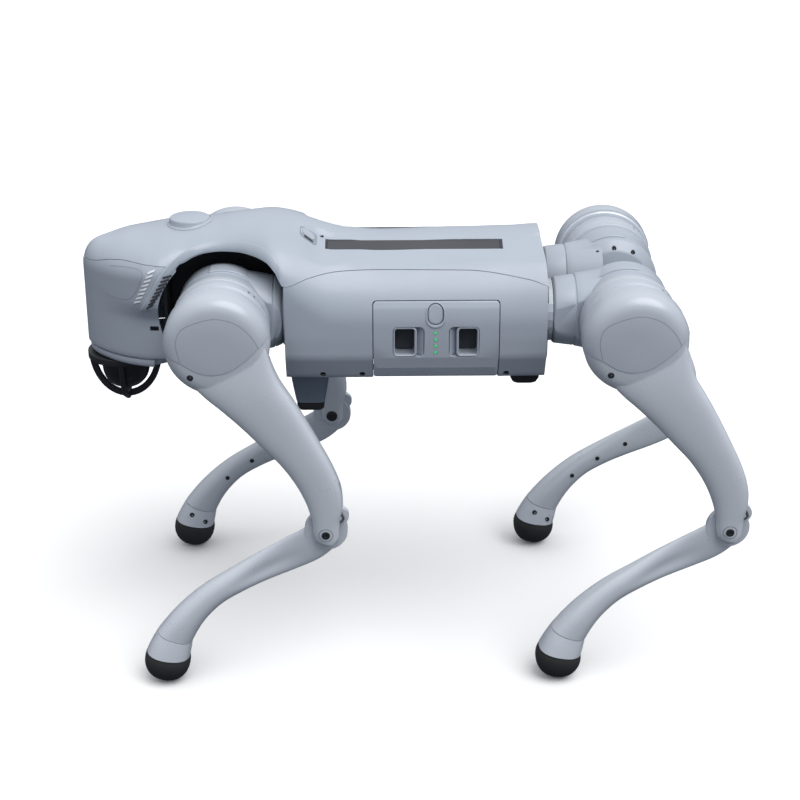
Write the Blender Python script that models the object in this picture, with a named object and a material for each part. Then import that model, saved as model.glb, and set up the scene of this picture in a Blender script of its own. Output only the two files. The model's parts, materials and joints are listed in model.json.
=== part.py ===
"""Quadruped robot dog, standing at rest: an assembly of separate shells, motors, linkages and feet.

Run with: blender --background --python part.py
Metres, +X towards the nose, +Y to the robot's left, +Z up; the soles stand on Z = 0.
Shapes are written in the hip frame, which has its origin midway between the four hip axes.
"""

import math

import bmesh
import bpy
from mathutils import Vector

# ---------------------------------------------------------------- driving dimensions
HIP_X = 0.1934  # hip axes ahead of and behind the middle of the trunk
HIP_Y = 0.0465  # abduction axes, either side of the middle
LEG_Y = 0.1420  # plane that each leg swings in
HIP_Z = 0.35245  # height of the hip axes above the ground at rest
MID_X = 0.01095  # middle of the whole robot, ahead of the middle of the trunk
LIMB = 0.2130  # hip to knee, and knee to foot
LEAN = math.radians(27.3)  # thigh, backwards from vertical
FOLD = math.radians(76.0)  # shin, forwards from the line of the thigh
SHELL = 0.0028  # wall of the moulded covers
GAP = 0.0004  # air between neighbouring parts

REAR_X, NECK_X, NOSE_X = -0.118, 0.134, 0.334  # ends of the trunk and of the head
BELLY_Z = -0.0606
CHIN_Z = -0.0445
HOUSING_R = 0.0445  # hip housing
RING_R = 0.0465  # thigh motor
DOME_R = 0.0490  # top of the thigh
HUB_R = 0.0300  # flange on the abduction motor
CRANK = 0.0200  # arm of the knee linkage
BUTTON = (-0.0099, 0.0090)  # middle of the power button, X and Z
RAIL_Y, RAIL_Z = 0.0280, 0.0602  # middle of a rail's face
RAIL_TILT = math.radians(19.0)  # the rails lean outwards with the shoulders
RAIL_WIDE, RAIL_THICK = 0.0150, 0.0030
LIDAR_X = 0.2982  # middle of the lidar and its cage
CAGE_R = 0.0368
FOOT_R = 0.0225

# Heights and half widths of the body, each a list of (X, value) from the rear to the nose.
SPINE = ((-0.118, 0.0695), (-0.113, 0.0695), (-0.085, 0.0678), (-0.056, 0.0668), (-0.026, 0.0655),
         (0.042, 0.0635), (0.071, 0.0656), (0.100, 0.0735), (0.129, 0.0814), (0.158, 0.0840),
         (0.180, 0.0826), (0.205, 0.0785), (0.227, 0.0757), (0.247, 0.0738), (0.266, 0.0708),
         (0.2855, 0.0688), (0.315, 0.0615), (0.334, 0.0600))
FLANK = ((-0.118, 0.0830), (-0.060, 0.0850), (0.050, 0.0855), (0.120, 0.0850), (0.134, 0.0835),
         (0.143, 0.0775), (0.152, 0.0680), (0.165, 0.0560), (0.180, 0.0480), (0.1934, 0.0460),
         (0.208, 0.0475), (0.220, 0.0510), (0.2325, 0.0570), (0.2434, 0.0640), (0.2549, 0.0680),
         (0.2644, 0.0675), (0.2743, 0.0630), (0.288, 0.0545), (0.3019, 0.0440), (0.313, 0.0335),
         (0.3222, 0.0235), (0.330, 0.0112), (0.334, 0.0010))
CHEEK = ((0.2434, 0.0585), (0.2549, 0.0590), (0.2644, 0.0585), (0.2743, 0.0560), (0.288, 0.0505),
         (0.3019, 0.0420), (0.313, 0.0328), (0.3222, 0.0232), (0.330, 0.0112), (0.334, 0.0010))
EDGE = ((-0.118, -0.0040), (0.085, -0.0020), (0.110, 0.0120), (0.134, 0.0360), (0.152, 0.0540),
        (0.180, 0.0600), (0.208, 0.0600), (0.2325, 0.0510), (0.2549, 0.0415), (0.288, 0.0360),
        (0.334, 0.0340))
SEAM = ((-0.118, 0.0319), (-0.100, 0.0377), (-0.040, 0.0451), (0.060, 0.0453), (0.085, 0.0450),
        (0.110, 0.0425), (0.1335, 0.0365), (0.1412, 0.0490), (0.1502, 0.0565), (0.1636, 0.0590),
        (0.1786, 0.0600), (0.1934, 0.0600), (0.2079, 0.0590), (0.2196, 0.0560), (0.2297, 0.0515),
        (0.2380, 0.0500), (0.2480, 0.0510), (0.262, 0.0520), (0.285, 0.0525), (0.303, 0.0500),
        (0.3190, 0.0450), (0.334, 0.0420))

# Stations along X that the skins of the trunk and of the head are shaped at.
TRUNK = (-0.112, -0.098, -0.075, -0.030, 0.035, 0.060, 0.085, 0.110, 0.1275, 0.1335)
HEAD = (0.139, 0.147, 0.157, 0.170, 0.187, 0.205, 0.220, 0.232, 0.2434, 0.2549, 0.268, 0.284, 0.298,
        0.311, 0.3222, 0.329, 0.333)
FACE = (0.2360, 0.2434, 0.2500, 0.2575, 0.266, 0.2755, 0.286, 0.2965, 0.3065, 0.3155, 0.3235, 0.3298,
        0.3332)

# ---------------------------------------------------------------- colours
PAINT = {
    "shell_grey": ((0.56, 0.61, 0.68), 0.42, 0.0),
    "leg_silver": ((0.60, 0.64, 0.69), 0.34, 0.35),
    "motor_grey": ((0.50, 0.55, 0.62), 0.40, 0.45),
    "dark_rail": ((0.07, 0.075, 0.085), 0.55, 0.0),
    "black_plastic": ((0.018, 0.019, 0.022), 0.48, 0.0),
    "black_glass": ((0.010, 0.011, 0.014), 0.12, 0.0),
    "rubber_black": ((0.022, 0.022, 0.024), 0.85, 0.0),
    "pad_slate": ((0.15, 0.19, 0.25), 0.60, 0.0),
    "steel": ((0.55, 0.56, 0.58), 0.28, 1.0),
}


def clear_scene():
    for obj in list(bpy.data.objects):
        bpy.data.objects.remove(obj, do_unlink=True)


def paint(name):
    """The material of that name, made the first time it is asked for."""
    found = bpy.data.materials.get(name)
    if found:
        return found
    colour, roughness, metallic = PAINT[name]
    material = bpy.data.materials.new(name)
    material.use_nodes = True
    shader = material.node_tree.nodes["Principled BSDF"]
    shader.inputs["Base Color"].default_value = (*colour, 1.0)
    shader.inputs["Roughness"].default_value = roughness
    shader.inputs["Metallic"].default_value = metallic
    material.diffuse_color = (*colour, 1.0)
    return material


# ---------------------------------------------------------------- curves and outlines
def along(curve, x):
    """Smooth value at x of a list of (x, value), with no overshoot between its points."""
    if x <= curve[0][0]:
        return curve[0][1]
    if x >= curve[-1][0]:
        return curve[-1][1]
    slopes = [(b[1] - a[1]) / (b[0] - a[0]) for a, b in zip(curve, curve[1:])]
    for i, (a, b) in enumerate(zip(curve, curve[1:])):
        if x > b[0]:
            continue
        bend = []
        for k in (i, i + 1):
            before = slopes[max(k - 1, 0)]
            after = slopes[min(k, len(slopes) - 1)]
            bend.append(0.0 if before * after <= 0 else 2 * before * after / (before + after))
        width = b[0] - a[0]
        t = (x - a[0]) / width
        return (a[1] * (1 + 2 * t) * (1 - t) ** 2 + bend[0] * width * t * (1 - t) ** 2
                + b[1] * t * t * (3 - 2 * t) + bend[1] * width * t * t * (t - 1))
    return curve[-1][1]


def resample(points, count):
    """count points evenly spaced along a line of points."""
    lengths = [0.0]
    for a, b in zip(points, points[1:]):
        lengths.append(lengths[-1] + math.dist(a, b))
    found = []
    k = 0
    for i in range(count):
        want = lengths[-1] * i / (count - 1)
        while k < len(points) - 2 and lengths[k + 1] < want:
            k += 1
        span = lengths[k + 1] - lengths[k]
        t = min(1.0, (want - lengths[k]) / span) if span else 0.0
        found.append(tuple(p + (q - p) * t for p, q in zip(points[k], points[k + 1])))
    return found


def arc(centre, radius, first, last, steps):
    """Points of an arc in a plane, from one angle to another in degrees."""
    found = []
    for i in range(steps + 1):
        angle = math.radians(first + (last - first) * i / steps)
        found.append((centre[0] + radius * math.cos(angle), centre[1] + radius * math.sin(angle)))
    return found


def rounded_box(low, high, radius, steps=3):
    """Outline of a rectangle with round corners."""
    (x0, y0), (x1, y1) = low, high
    corners = ((x1 - radius, y1 - radius, 0), (x0 + radius, y1 - radius, 90),
               (x0 + radius, y0 + radius, 180), (x1 - radius, y0 + radius, 270))
    found = []
    for x, y, start in corners:
        found += arc((x, y), radius, start, start + 90, steps)
    return found


# ---------------------------------------------------------------- solids
def loft(rings, folded=False):
    """Closed solid through rings of equal length, with a flat cap on each end.

    A folded loft ends in a ring whose left and right halves lie on each other, and they are joined.
    """
    mesh = bmesh.new()
    rows = [[mesh.verts.new(p) for p in ring] for ring in rings]
    for low, high in zip(rows, rows[1:]):
        for i in range(len(low)):
            j = (i + 1) % len(low)
            mesh.faces.new((low[i], low[j], high[j], high[i]))
    mesh.faces.new(rows[0][::-1])
    if folded:
        bmesh.ops.remove_doubles(mesh, verts=rows[-1], dist=0.00001)
    else:
        mesh.faces.new(rows[-1])
    bmesh.ops.recalc_face_normals(mesh, faces=mesh.faces)
    return mesh


def placed(axis, along_axis, first, second):
    """A point given by its distance along an axis and its two coordinates across it."""
    if axis == "X":
        return (along_axis, first, second)
    if axis == "Y":
        return (first, along_axis, second)
    return (first, second, along_axis)


def prism(outline, axis, low, high):
    return loft([[placed(axis, d, *p) for p in outline] for d in (low, high)])


def box(low, high):
    outline = ((low[0], low[1]), (high[0], low[1]), (high[0], high[1]), (low[0], high[1]))
    return prism(outline, "Z", low[2], high[2])


def turned(profile, centre, axis, steps=24):
    """Solid of revolution: profile is (distance along the axis, radius), and is closed by discs."""
    rings = []
    for d, radius in profile:
        rings.append([placed(axis, d, *p) for p in arc(centre, max(radius, 0.0004), 0, 360, steps)[:-1]])
    return loft(rings)


def add_object(name, mesh, material, pivot=None, smooth=True):
    """An object from a mesh in the hip frame, with its origin on its joint's axis."""
    centre = Vector(pivot or (0, 0, 0))
    for vertex in mesh.verts:
        vertex.co -= centre
    data = bpy.data.meshes.new(name)
    mesh.to_mesh(data)
    mesh.free()
    data.materials.append(paint(material))
    obj = bpy.data.objects.new(name, data)
    obj.location = centre + Vector((-MID_X, 0, HIP_Z))
    bpy.context.scene.collection.objects.link(obj)
    if smooth:
        data.shade_smooth()
        data.set_sharp_from_angle(angle=math.radians(38))
    return obj


def change(obj, operation, mesh):
    """Adds a Boolean with a hidden helper, which keeps the shape editable."""
    number = len(obj.modifiers)
    helper = add_object(f"{obj.name}_helper_{number}", mesh, "black_plastic")
    helper.hide_render = True
    helper.display_type = "WIRE"
    modifier = obj.modifiers.new(f"{operation.lower()}_{number}", "BOOLEAN")
    modifier.operation = operation
    modifier.solver = "EXACT"
    modifier.object = helper


def cut(obj, *meshes):
    for mesh in meshes:
        change(obj, "DIFFERENCE", mesh)


def join(obj, *meshes):
    for mesh in meshes:
        change(obj, "UNION", mesh)


# ---------------------------------------------------------------- body covers
def outline_x(x, inset):
    """X of a hull point: the inner skin of the head is drawn back from the nose."""
    return x - inset * max(0.0, x - 0.25) / (NOSE_X - 0.25)


def spine_x(x):
    """Where the section through a point of the outline reaches the middle: nose sections fan out."""
    nose, tail = max(0.0, (x - 0.25) / (NOSE_X - 0.25)), max(0.0, (-0.104 - x) / 0.014)
    return x - 0.021 * nose ** 2 + 0.006 * tail ** 2


def clip(line, level, above):
    """The part of a rising line of (y, z) above or below a level, cut exactly at it."""
    kept = []
    for a, b in zip(line, line[1:]):
        if a[1] < level < b[1]:
            t = (level - a[1]) / (b[1] - a[1])
            crossing = (a[0] + (b[0] - a[0]) * t, level)
            kept += [crossing, b] if above else [a, crossing]
        elif (a[1] >= level) == above:
            kept += [a, b]
    return [p for i, p in enumerate(kept) if i == 0 or p != kept[i - 1]]


def flank_line(x, inset, low_z):
    """Outline of the left side at station x, as (y, z) from the height low_z over to the spine."""
    width = max(along(FLANK, x) - inset, 0.0006)
    top = along(SPINE, spine_x(x)) - inset
    edge = min(along(EDGE, x), top - 0.004)
    line = [(width, min(low_z, edge) - 0.001)]
    for i in range(31):
        angle = math.radians(3 * i)
        y, z = width * math.cos(angle), edge + (top - edge) * math.sin(angle)
        line.append((y, min(z, rail_seat(x, y) - inset)))
    return clip(line, low_z, True)


def rail_seat(x, y):
    """Highest that the shoulder may be: a flat seat beside each rail, which runs out towards the neck."""
    run_out = max(0.0, x - 0.087) / 0.030
    crown = max(0.0, RAIL_Y - 0.011 - y)
    return RAIL_Z + 0.0008 - math.tan(RAIL_TILT) * (y - RAIL_Y) + 0.015 * run_out ** 2 + crown


def on_hull(x, inset, line):
    """Places a flank line in space: sections through the nose fan out from the spine."""
    width = max(along(FLANK, x) - inset, 0.0006)
    outer, middle = outline_x(x, inset), spine_x(x)
    return [(outer + (middle - outer) * (1 - min(1.0, y / width)), y, z) for y, z in line]


def crown(x, inset, low_z, count):
    """Left half of the top skin at station x, from the height low_z up to the spine."""
    points = on_hull(x, inset, resample(flank_line(x, inset, low_z), count))
    points[-1] = (points[-1][0], 0.0, points[-1][2])
    return points


def top_height(x, y):
    """Height of the top skin above a point of the plan."""
    width, edge, top = along(FLANK, x), along(EDGE, x), along(SPINE, x)
    return edge + (top - edge) * math.sqrt(1 - min(1.0, abs(y) / width) ** 2)


def mirrored(points):
    return [(x, -y, z) for x, y, z in points]


def across(left):
    """A whole section, left to right, from its left half."""
    return left + mirrored(left[:-1])[::-1]


def top_cover():
    rings = []
    for x in (REAR_X,) + TRUNK + HEAD:
        low = along(SEAM, x) + 2 * GAP
        outer = across(crown(x, 0.0, low, 7))
        inner = across(crown(x, SHELL, low, 7))
        rings.append(outer + inner[::-1])
    rings[-1] = [(x, 0.0, z) for x, y, z in rings[-1]]
    cover = add_object("top_cover", loft(rings, folded=True), "shell_grey")
    cut(cover, *[rail_bar(side, -0.0755, 0.0945, GAP, -RAIL_THICK - GAP, 0.02) for side in (1, -1)])
    return cover


def rail_bar(side, first, last, grow, low, high):
    """A straight bar along the shoulder, between two depths measured square to the rail's face."""
    c, s = math.cos(RAIL_TILT), math.sin(RAIL_TILT)
    half = RAIL_WIDE / 2 + grow
    section = []
    for out, up in ((-half, low), (half, low), (half, high), (-half, high)):
        section.append((side * (RAIL_Y + out * c + up * s), RAIL_Z - out * s + up * c))
    return prism(section, "X", first - grow, last + grow)


def rails():
    for side, name in ((1, "rail_left"), (-1, "rail_right")):
        add_object(name, rail_bar(side, -0.0755, 0.0945, 0.0, -RAIL_THICK, 0.0), "dark_rail")


def side_cover(side, name):
    """Wrap-round side of the trunk, from the belly up to the seam with the top cover."""
    rings = []
    for x in (REAR_X + 0.0015,) + TRUNK:
        skins = []
        for inset in (0.0, SHELL):
            width = along(FLANK, x) - inset
            low = BELLY_Z + inset * 0.9
            lower = [(width - 0.042, low), (width - 0.0165, low), (width - 0.0135, low + 0.002),
                     (width - 0.0012, -0.0352 + inset * 0.3), (width, -0.0156)]
            upper = clip(flank_line(x, inset, -0.0156), along(SEAM, x), False)
            line = resample(lower, 7)[:-1] + resample(upper, 6)
            skins.append([(x, side * y, z) for y, z in line])
        rings.append(skins[0] + skins[1][::-1])
    cover = add_object(name, loft(rings), "shell_grey")
    for x in (0.098, 0.060, -0.079):
        cut(cover, turned(((side * 0.056, 0.0042), (side * 0.100, 0.0042)), (x, BELLY_Z + 0.001), "Y", 10))
    return cover


def side_covers():
    left = side_cover(1, "side_cover_left")
    cut(left, prism(rounded_box((-0.0712, -0.074), (0.0500, 0.0219), 0.0035), "Y", 0.050, 0.120))
    side_cover(-1, "side_cover_right")


def head_section(x, inset):
    """Left half of the face shell at station x, from the chin up to its seam with the top cover."""
    wide = max(along(FLANK, x) - inset, 0.0006)
    narrow = max(along(CHEEK, x) - inset, 0.0006)
    lower = [(narrow - 0.0006, CHIN_Z), (narrow, -0.030), (narrow, -0.006),
             (narrow + (wide - narrow) * 0.45, 0.003), (wide - 0.0003, 0.012), (wide, 0.020)]
    upper = clip(flank_line(x, inset, 0.022), along(SEAM, x), False)
    low = [(outline_x(x, inset), y, z) for y, z in resample(lower, 8)]
    return low + on_hull(x, inset, resample(upper, 4))


def face_shell():
    rings = []
    for x in FACE:
        rings.append(head_section(x, 0.0) + head_section(x, SHELL)[::-1])
    rings += [mirrored(ring) for ring in rings[::-1]]
    face = add_object("face_shell", loft(rings), "shell_grey")
    cut(face, turned(((-0.10, 0.0618), (0.10, 0.0618)), (HIP_X, 0.0), "Y", 48))
    for side in (1, -1):
        cut(face, box((0.2555, side * 0.059 - 0.02, -0.0165), (0.2635, side * 0.059 + 0.02, -0.0115)))
    return face


def chin_outline(inset):
    """Plan of the round mouth of the head: the nose curve in front, a near circle behind."""
    front = [(x, max(along(CHEEK, x) - inset, 0.0)) for x in
             (0.262, 0.270, 0.279, 0.288, 0.297, 0.305, 0.3125, 0.319, 0.3250, 0.3300)]
    front = [(outline_x(x, inset), y) for x, y in front]
    back = arc((0.285, 0.0), 0.0585 - inset, 113, 180, 5)
    left = back[::-1] + front + [(NOSE_X - inset, 0.0)]
    return left + [(x, -y) for x, y in left[1:-1]][::-1]


def chin_ring():
    """Stepped collar under the head that carries the lidar."""
    levels = ((CHIN_Z - GAP, 0.0035), (-0.0465, 0.0035), (-0.0470, 0.0012), (-0.0525, 0.0016),
              (-0.0545, 0.0040))
    rings = [[(x, y, z) for x, y in chin_outline(inset)] for z, inset in levels]
    ring = add_object("chin_ring", loft(rings), "shell_grey")
    cut(ring, turned(((-0.060, 0.0160), (-0.040, 0.0160)), (LIDAR_X, 0.0), "Z", 16))
    return ring


def antenna_puck():
    """Low round housing on the head: a level top on a small flange that follows the skin."""
    x, top = 0.227, 0.0812
    levels = ((0.0, 0.0222), (0.0007, 0.0222), (0.0016, 0.0200), (top - 0.0007, 0.0197), (top, 0.0190))
    puck = turned(levels, (x, 0.0), "Z", 24)
    for vertex in puck.verts:
        if vertex.co.z < 0.01:
            vertex.co.z += top_height(vertex.co.x, vertex.co.y) + 5 * GAP
    return add_object("antenna_puck", puck, "shell_grey")


# ---------------------------------------------------------------- inside the trunk
def chassis():
    """Tray that everything bolts to: deck, motor bulkheads, and the beam and wall that carry the head."""
    plate = box((-0.1140, -0.050, 0.0372), (0.1310, 0.050, 0.0410))
    deck = add_object("chassis", plate, "black_plastic", smooth=False)
    half = [(0.060, -0.0540), (0.0755, -0.0350), (0.0775, 0.0), (0.0735, 0.0190), (0.0560, 0.0400)]
    bulkhead = half + [(-y, z) for y, z in half[::-1]]
    for x in (-0.1178, 0.1262):
        join(deck, prism(bulkhead, "X", x, x + 0.0046))
        holes = [turned(((x - 0.01, HUB_R + 0.002), (x + 0.015, HUB_R + 0.002)), (side * HIP_Y, 0.0), "X")
                 for side in (1, -1)]
        cut(deck, *holes)
    join(deck, box((-0.1150, -0.045, -0.0515), (0.1290, 0.045, -0.0490)))
    join(deck, box((0.1250, -0.0040, 0.0300), (0.2950, 0.0040, 0.0560)))
    join(deck, box((0.1300, -0.0032, -0.0400), (0.2485, 0.0032, 0.0320)))
    join(deck, prism(rounded_box((-0.0500, -0.0420), (0.0500, 0.0420), 0.015), "X", 0.2475, 0.2500))
    return deck


def abduction_motor(x_side, y_side, name):
    """Flat motor with its axis along the body; its flange reaches through the bulkhead."""
    face = 0.1258 if x_side > 0 else 0.1128
    levels = ((face - 0.038, 0.0312), (face - 0.036, 0.0333), (face - 0.002, 0.0333), (face, 0.0325),
              (face + 0.0001, HUB_R), (face + 0.0096, HUB_R))
    profile = [(x_side * d, r) for d, r in levels]
    motor = turned(profile, (y_side * (HIP_Y - 0.0002), 0.0), "X")
    return add_object(name, motor, "motor_grey")


def battery_pack():
    """Pack that slides in from the left, with two finger pockets and a button on its outer face."""
    profile = ((0.0690, 0.0211), (0.0790, 0.0211), (0.0801, 0.0203), (0.0832, 0.0130), (0.0852, 0.0010),
               (0.0855, -0.0156), (0.0845, -0.0352), (0.0727, -0.0574), (0.0705, -0.0592), (0.0690, -0.0592))
    battery = add_object("battery_pack", prism(profile, "X", -0.0704, 0.0492), "shell_grey", smooth=False)
    outline = rounded_box((-0.0704, -0.0592), (0.0492, 0.0211), 0.0034)
    change(battery, "INTERSECT", prism(outline, "Y", 0.050, 0.120))
    join(battery, box((-0.0670, -0.0380, -0.0475), (0.0460, 0.0780, 0.0175)))
    for low, high in ((0.0005, 0.0310), (-0.0520, -0.0225)):
        cut(battery, prism(rounded_box((low, -0.0340), (high, -0.0028), 0.0045, 1), "Y", 0.0640, 0.120))
    cut(battery, prism(button_outline(-0.0005), "Y", 0.0750, 0.120))
    return battery


def button_outline(inset):
    """Upright pill seen from the side."""
    wide, tall = 0.0070 - inset, 0.0098 - inset
    x, z = BUTTON
    return rounded_box((x - wide, z - tall), (x + wide, z + tall), wide - 0.0001)


def power_button():
    rings = [[(x, 0.0770, z) for x, z in button_outline(0.0)]]
    for sink, inset in ((0.0016, 0.0), (0.0006, 0.0014)):
        rings.append([(x, side_y(z) - sink, z) for x, z in button_outline(inset)])
    return add_object("power_button", loft(rings), "shell_grey", (BUTTON[0], 0.0770, BUTTON[1]))


def side_y(z):
    """How far out the rounded side of the battery is at the height z."""
    return 0.0853 * math.sqrt(1 - (max(0.0, z + 0.003) / 0.069) ** 2)


def belly_pads():
    """Feet that the trunk rests on when the robot lies down."""
    front = []
    for z, inset in ((BELLY_Z - GAP, 0.0), (-0.0780, 0.002), (-0.1025, 0.006)):
        outline = rounded_box((0.0920 + inset, -0.042 + inset), (0.1320 - inset, 0.042 - inset), 0.004, 2)
        front.append([(x, y, z) for x, y in outline])
    add_object("belly_pad_front", loft(front), "pad_slate")
    sole = []
    for z, inset in ((-0.1025 - GAP, 0.0065), (-0.1090, 0.007), (-0.1110, 0.009)):
        outline = rounded_box((0.0920 + inset, -0.042 + inset), (0.1320 - inset, 0.042 - inset), 0.003, 2)
        sole.append([(x, y, z) for x, y in outline])
    add_object("belly_sole_front", loft(sole), "rubber_black")
    rear = []
    for z, inset in ((BELLY_Z - GAP, 0.0), (-0.0740, 0.002), (-0.0800, 0.006)):
        outline = rounded_box((-0.1160 + inset, -0.046 + inset), (-0.0840 - inset, 0.046 - inset), 0.005, 2)
        rear.append([(x, y, z) for x, y in outline])
    add_object("belly_pad_rear", loft(rear), "rubber_black")


# ---------------------------------------------------------------- lidar
def lidar_core():
    """Spinning-head scanner: a round window over a domed end."""
    levels = ((-0.0552, 0.0180), (-0.0600, 0.0232), (-0.0760, 0.0238), (-0.0855, 0.0210), (-0.0920, 0.0152),
              (-0.0955, 0.0080), (-0.0962, 0.0010))
    return add_object("lidar_core", turned(levels, (LIDAR_X, 0.0), "Z"), "black_glass")


def lidar_cage():
    """Ring with two crossed hoops that guards the scanner, and a nub under the crossing."""
    ring = turned(((-0.0550, CAGE_R), (-0.0620, CAGE_R)), (LIDAR_X, 0.0), "Z", 28)
    cage = add_object("lidar_cage", ring, "black_plastic")
    cut(cage, turned(((-0.0500, CAGE_R - 0.0085), (-0.0670, CAGE_R - 0.0085)), (LIDAR_X, 0.0), "Z", 28))
    deep = 0.0485
    for number, turn in enumerate((0, 90)):
        c, s = math.cos(math.radians(turn)), math.sin(math.radians(turn))
        rings = []
        for p, q in arc((0.0, 0.0), 1.0, 180, 360, 17):
            ring = []
            for inward, wide in ((0.0, 0.0024), (0.0, -0.0024), (0.0064, -0.0024), (0.0064, 0.0024)):
                r = (CAGE_R - 0.0005 - 0.0003 * number - inward) * p
                h = -0.0590 + (deep - 0.0005 * number - inward) * q
                ring.append((LIDAR_X + r * c - wide * s, r * s + wide * c, h))
            rings.append(ring)
        join(cage, loft(rings))
    join(cage, turned(((-0.1035, 0.0030), (-0.1100, 0.0026)), (LIDAR_X, 0.0), "Z", 10))
    return cage


# ---------------------------------------------------------------- legs
class Leg:
    """Frame of one leg: places points given along and across each limb."""

    def __init__(self, x_side, y_side):
        self.x = x_side * HIP_X
        self.front = x_side
        self.side = y_side
        self.name = ("front" if x_side > 0 else "rear") + ("_left" if y_side > 0 else "_right")
        self.hip = (self.x, y_side * LEG_Y, 0.0)
        self.abduction = (self.x, y_side * HIP_Y, 0.0)
        self.down = (-math.sin(LEAN), -math.cos(LEAN))
        self.ahead = (math.cos(LEAN), -math.sin(LEAN))
        self.knee = (self.x + LIMB * self.down[0], LIMB * self.down[1])
        self.knee_pivot = (self.knee[0], y_side * LEG_Y, self.knee[1])
        swing = LEAN - FOLD
        self.shin = (-math.sin(swing), -math.cos(swing))
        self.over = (math.cos(swing), -math.sin(swing))
        self.foot = (self.knee[0] + LIMB * self.shin[0], self.knee[1] + LIMB * self.shin[1])

    def thigh_point(self, a, b):
        return (self.x + a * self.down[0] + b * self.ahead[0], a * self.down[1] + b * self.ahead[1])

    def shin_point(self, a, b):
        return (self.knee[0] + a * self.shin[0] + b * self.over[0],
                self.knee[1] + a * self.shin[1] + b * self.over[1])

    def turned(self, profile, centre, steps=24):
        """Solid of revolution across the body; profile is (distance out from the middle, radius)."""
        return turned([(self.side * d, r) for d, r in profile], centre, "Y", steps)

    def prism(self, outline, low, high):
        return prism(outline, "Y", self.side * low, self.side * high)


def hip_link(leg):
    """Housing that turns on the abduction motor and carries the thigh motor."""
    inner = ((0.0240, 0.0340), (0.0252, 0.0362), (0.0330, HOUSING_R), (0.0760, HOUSING_R), (0.0768, 0.0435))
    housing = leg.turned(inner, (leg.x, 0.0), 24)
    link = add_object(f"hip_link_{leg.name}", housing, "shell_grey", leg.abduction)
    near = 0.1360 if leg.front > 0 else 0.1230
    hub = ((leg.front * near, 0.0300), (leg.front * (near + 0.0018), 0.0322), (leg.front * 0.1500, 0.0362),
           (leg.front * 0.1800, 0.0412))
    join(link, turned(hub, (leg.side * (HIP_Y + 0.0002), 0.0), "X", 24))
    cut(link, leg.prism(rounded_box((leg.x - 0.08, -0.06), (leg.x + 0.08, 0.06), 0.01, 1), 0.0770, 0.1200))
    return link


def thigh_motor(leg):
    """Ring-shaped motor that swings the thigh; it bolts to the hip link."""
    levels = ((0.0774, 0.0432), (0.0786, RING_R), (0.1020, RING_R), (0.1030, 0.0448), (0.1146, 0.0440))
    ring = leg.turned(levels, (leg.x, 0.0), 24)
    return add_object(f"thigh_motor_{leg.name}", ring, "motor_grey", leg.abduction)


# Thigh: distance down the limb, middle and half width across it, and the Y of its inner and outer faces.
THIGH = ((0.008, -0.0010, 0.0425, 0.1152, 0.1480), (0.024, -0.0012, 0.0385, 0.1156, 0.1505),
         (0.040, -0.0020, 0.0345, 0.1170, 0.1525), (0.058, -0.0048, 0.0303, 0.1200, 0.1538),
         (0.080, -0.0095, 0.0275, 0.1245, 0.1545), (0.105, -0.0135, 0.0245, 0.1275, 0.1548),
         (0.130, -0.0170, 0.0212, 0.1290, 0.1548), (0.155, -0.0182, 0.0195, 0.1292, 0.1545),
         (0.178, -0.0162, 0.0185, 0.1292, 0.1540), (0.196, -0.0105, 0.0168, 0.1292, 0.1535),
         (0.208, -0.0035, 0.0146, 0.1292, 0.1532), (0.2195, 0.0, 0.0118, 0.1295, 0.1528),
         (0.2255, 0.0, 0.0062, 0.1300, 0.1520))
DOME = ((0.1192, DOME_R), (0.1350, DOME_R), (0.1415, 0.0474), (0.1462, 0.0440), (0.1492, 0.0395),
        (0.1508, 0.0330), (0.1520, 0.0200), (0.1523, 0.0060))


def thigh_half(leg, face):
    """Half of the thigh from its parting plane outwards or inwards: flat on the plane, rounded beyond it."""
    rings = []
    for a, b, half, inner, outer in THIGH:
        start = leg.side * (LEG_Y + GAP * 0.6 * (1 if face == "outer" else -1))
        tall = leg.side * (outer if face == "outer" else inner) - start
        ring = []
        for k in range(9):
            angle = math.radians(180 * k / 8)
            reach = math.copysign(abs(math.cos(angle)) ** 0.85, math.cos(angle))
            p = leg.thigh_point(a, b + half * reach)
            ring.append((p[0], start + tall * max(math.sin(angle), 0.0) ** 0.55, p[1]))
        rings.append(ring)
    return loft(rings)


def thigh_outer(leg):
    """Outer half of the thigh: the cup over the knee motor, the limb, and the stub axle of the knee."""
    thigh = add_object(f"thigh_outer_{leg.name}", thigh_half(leg, "outer"), "leg_silver", leg.hip)
    join(thigh, leg.turned(DOME, (leg.x, 0.0), 26))
    cut(thigh, leg.turned(((0.1100, 0.0440), (0.1478, 0.0400)), (leg.x, 0.0), 24))
    corners = ((0.020, -0.0290), (0.020, 0.000), (0.12, -0.0050), (0.245, -0.0050), (0.245, -0.060),
               (0.19, -0.040), (0.15, -0.0300))
    channel = [leg.thigh_point(a, b) for a, b in corners]
    cut(thigh, leg.prism(channel, LEG_Y - 0.002, LEG_Y + 0.0058))
    cut(thigh, leg.turned(((LEG_Y - 0.002, 0.0290), (0.1433, 0.0290)), leg.knee, 20))
    join(thigh, leg.turned(((0.1345, 0.0044), (0.1500, 0.0044)), leg.knee, 14))
    return thigh


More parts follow.
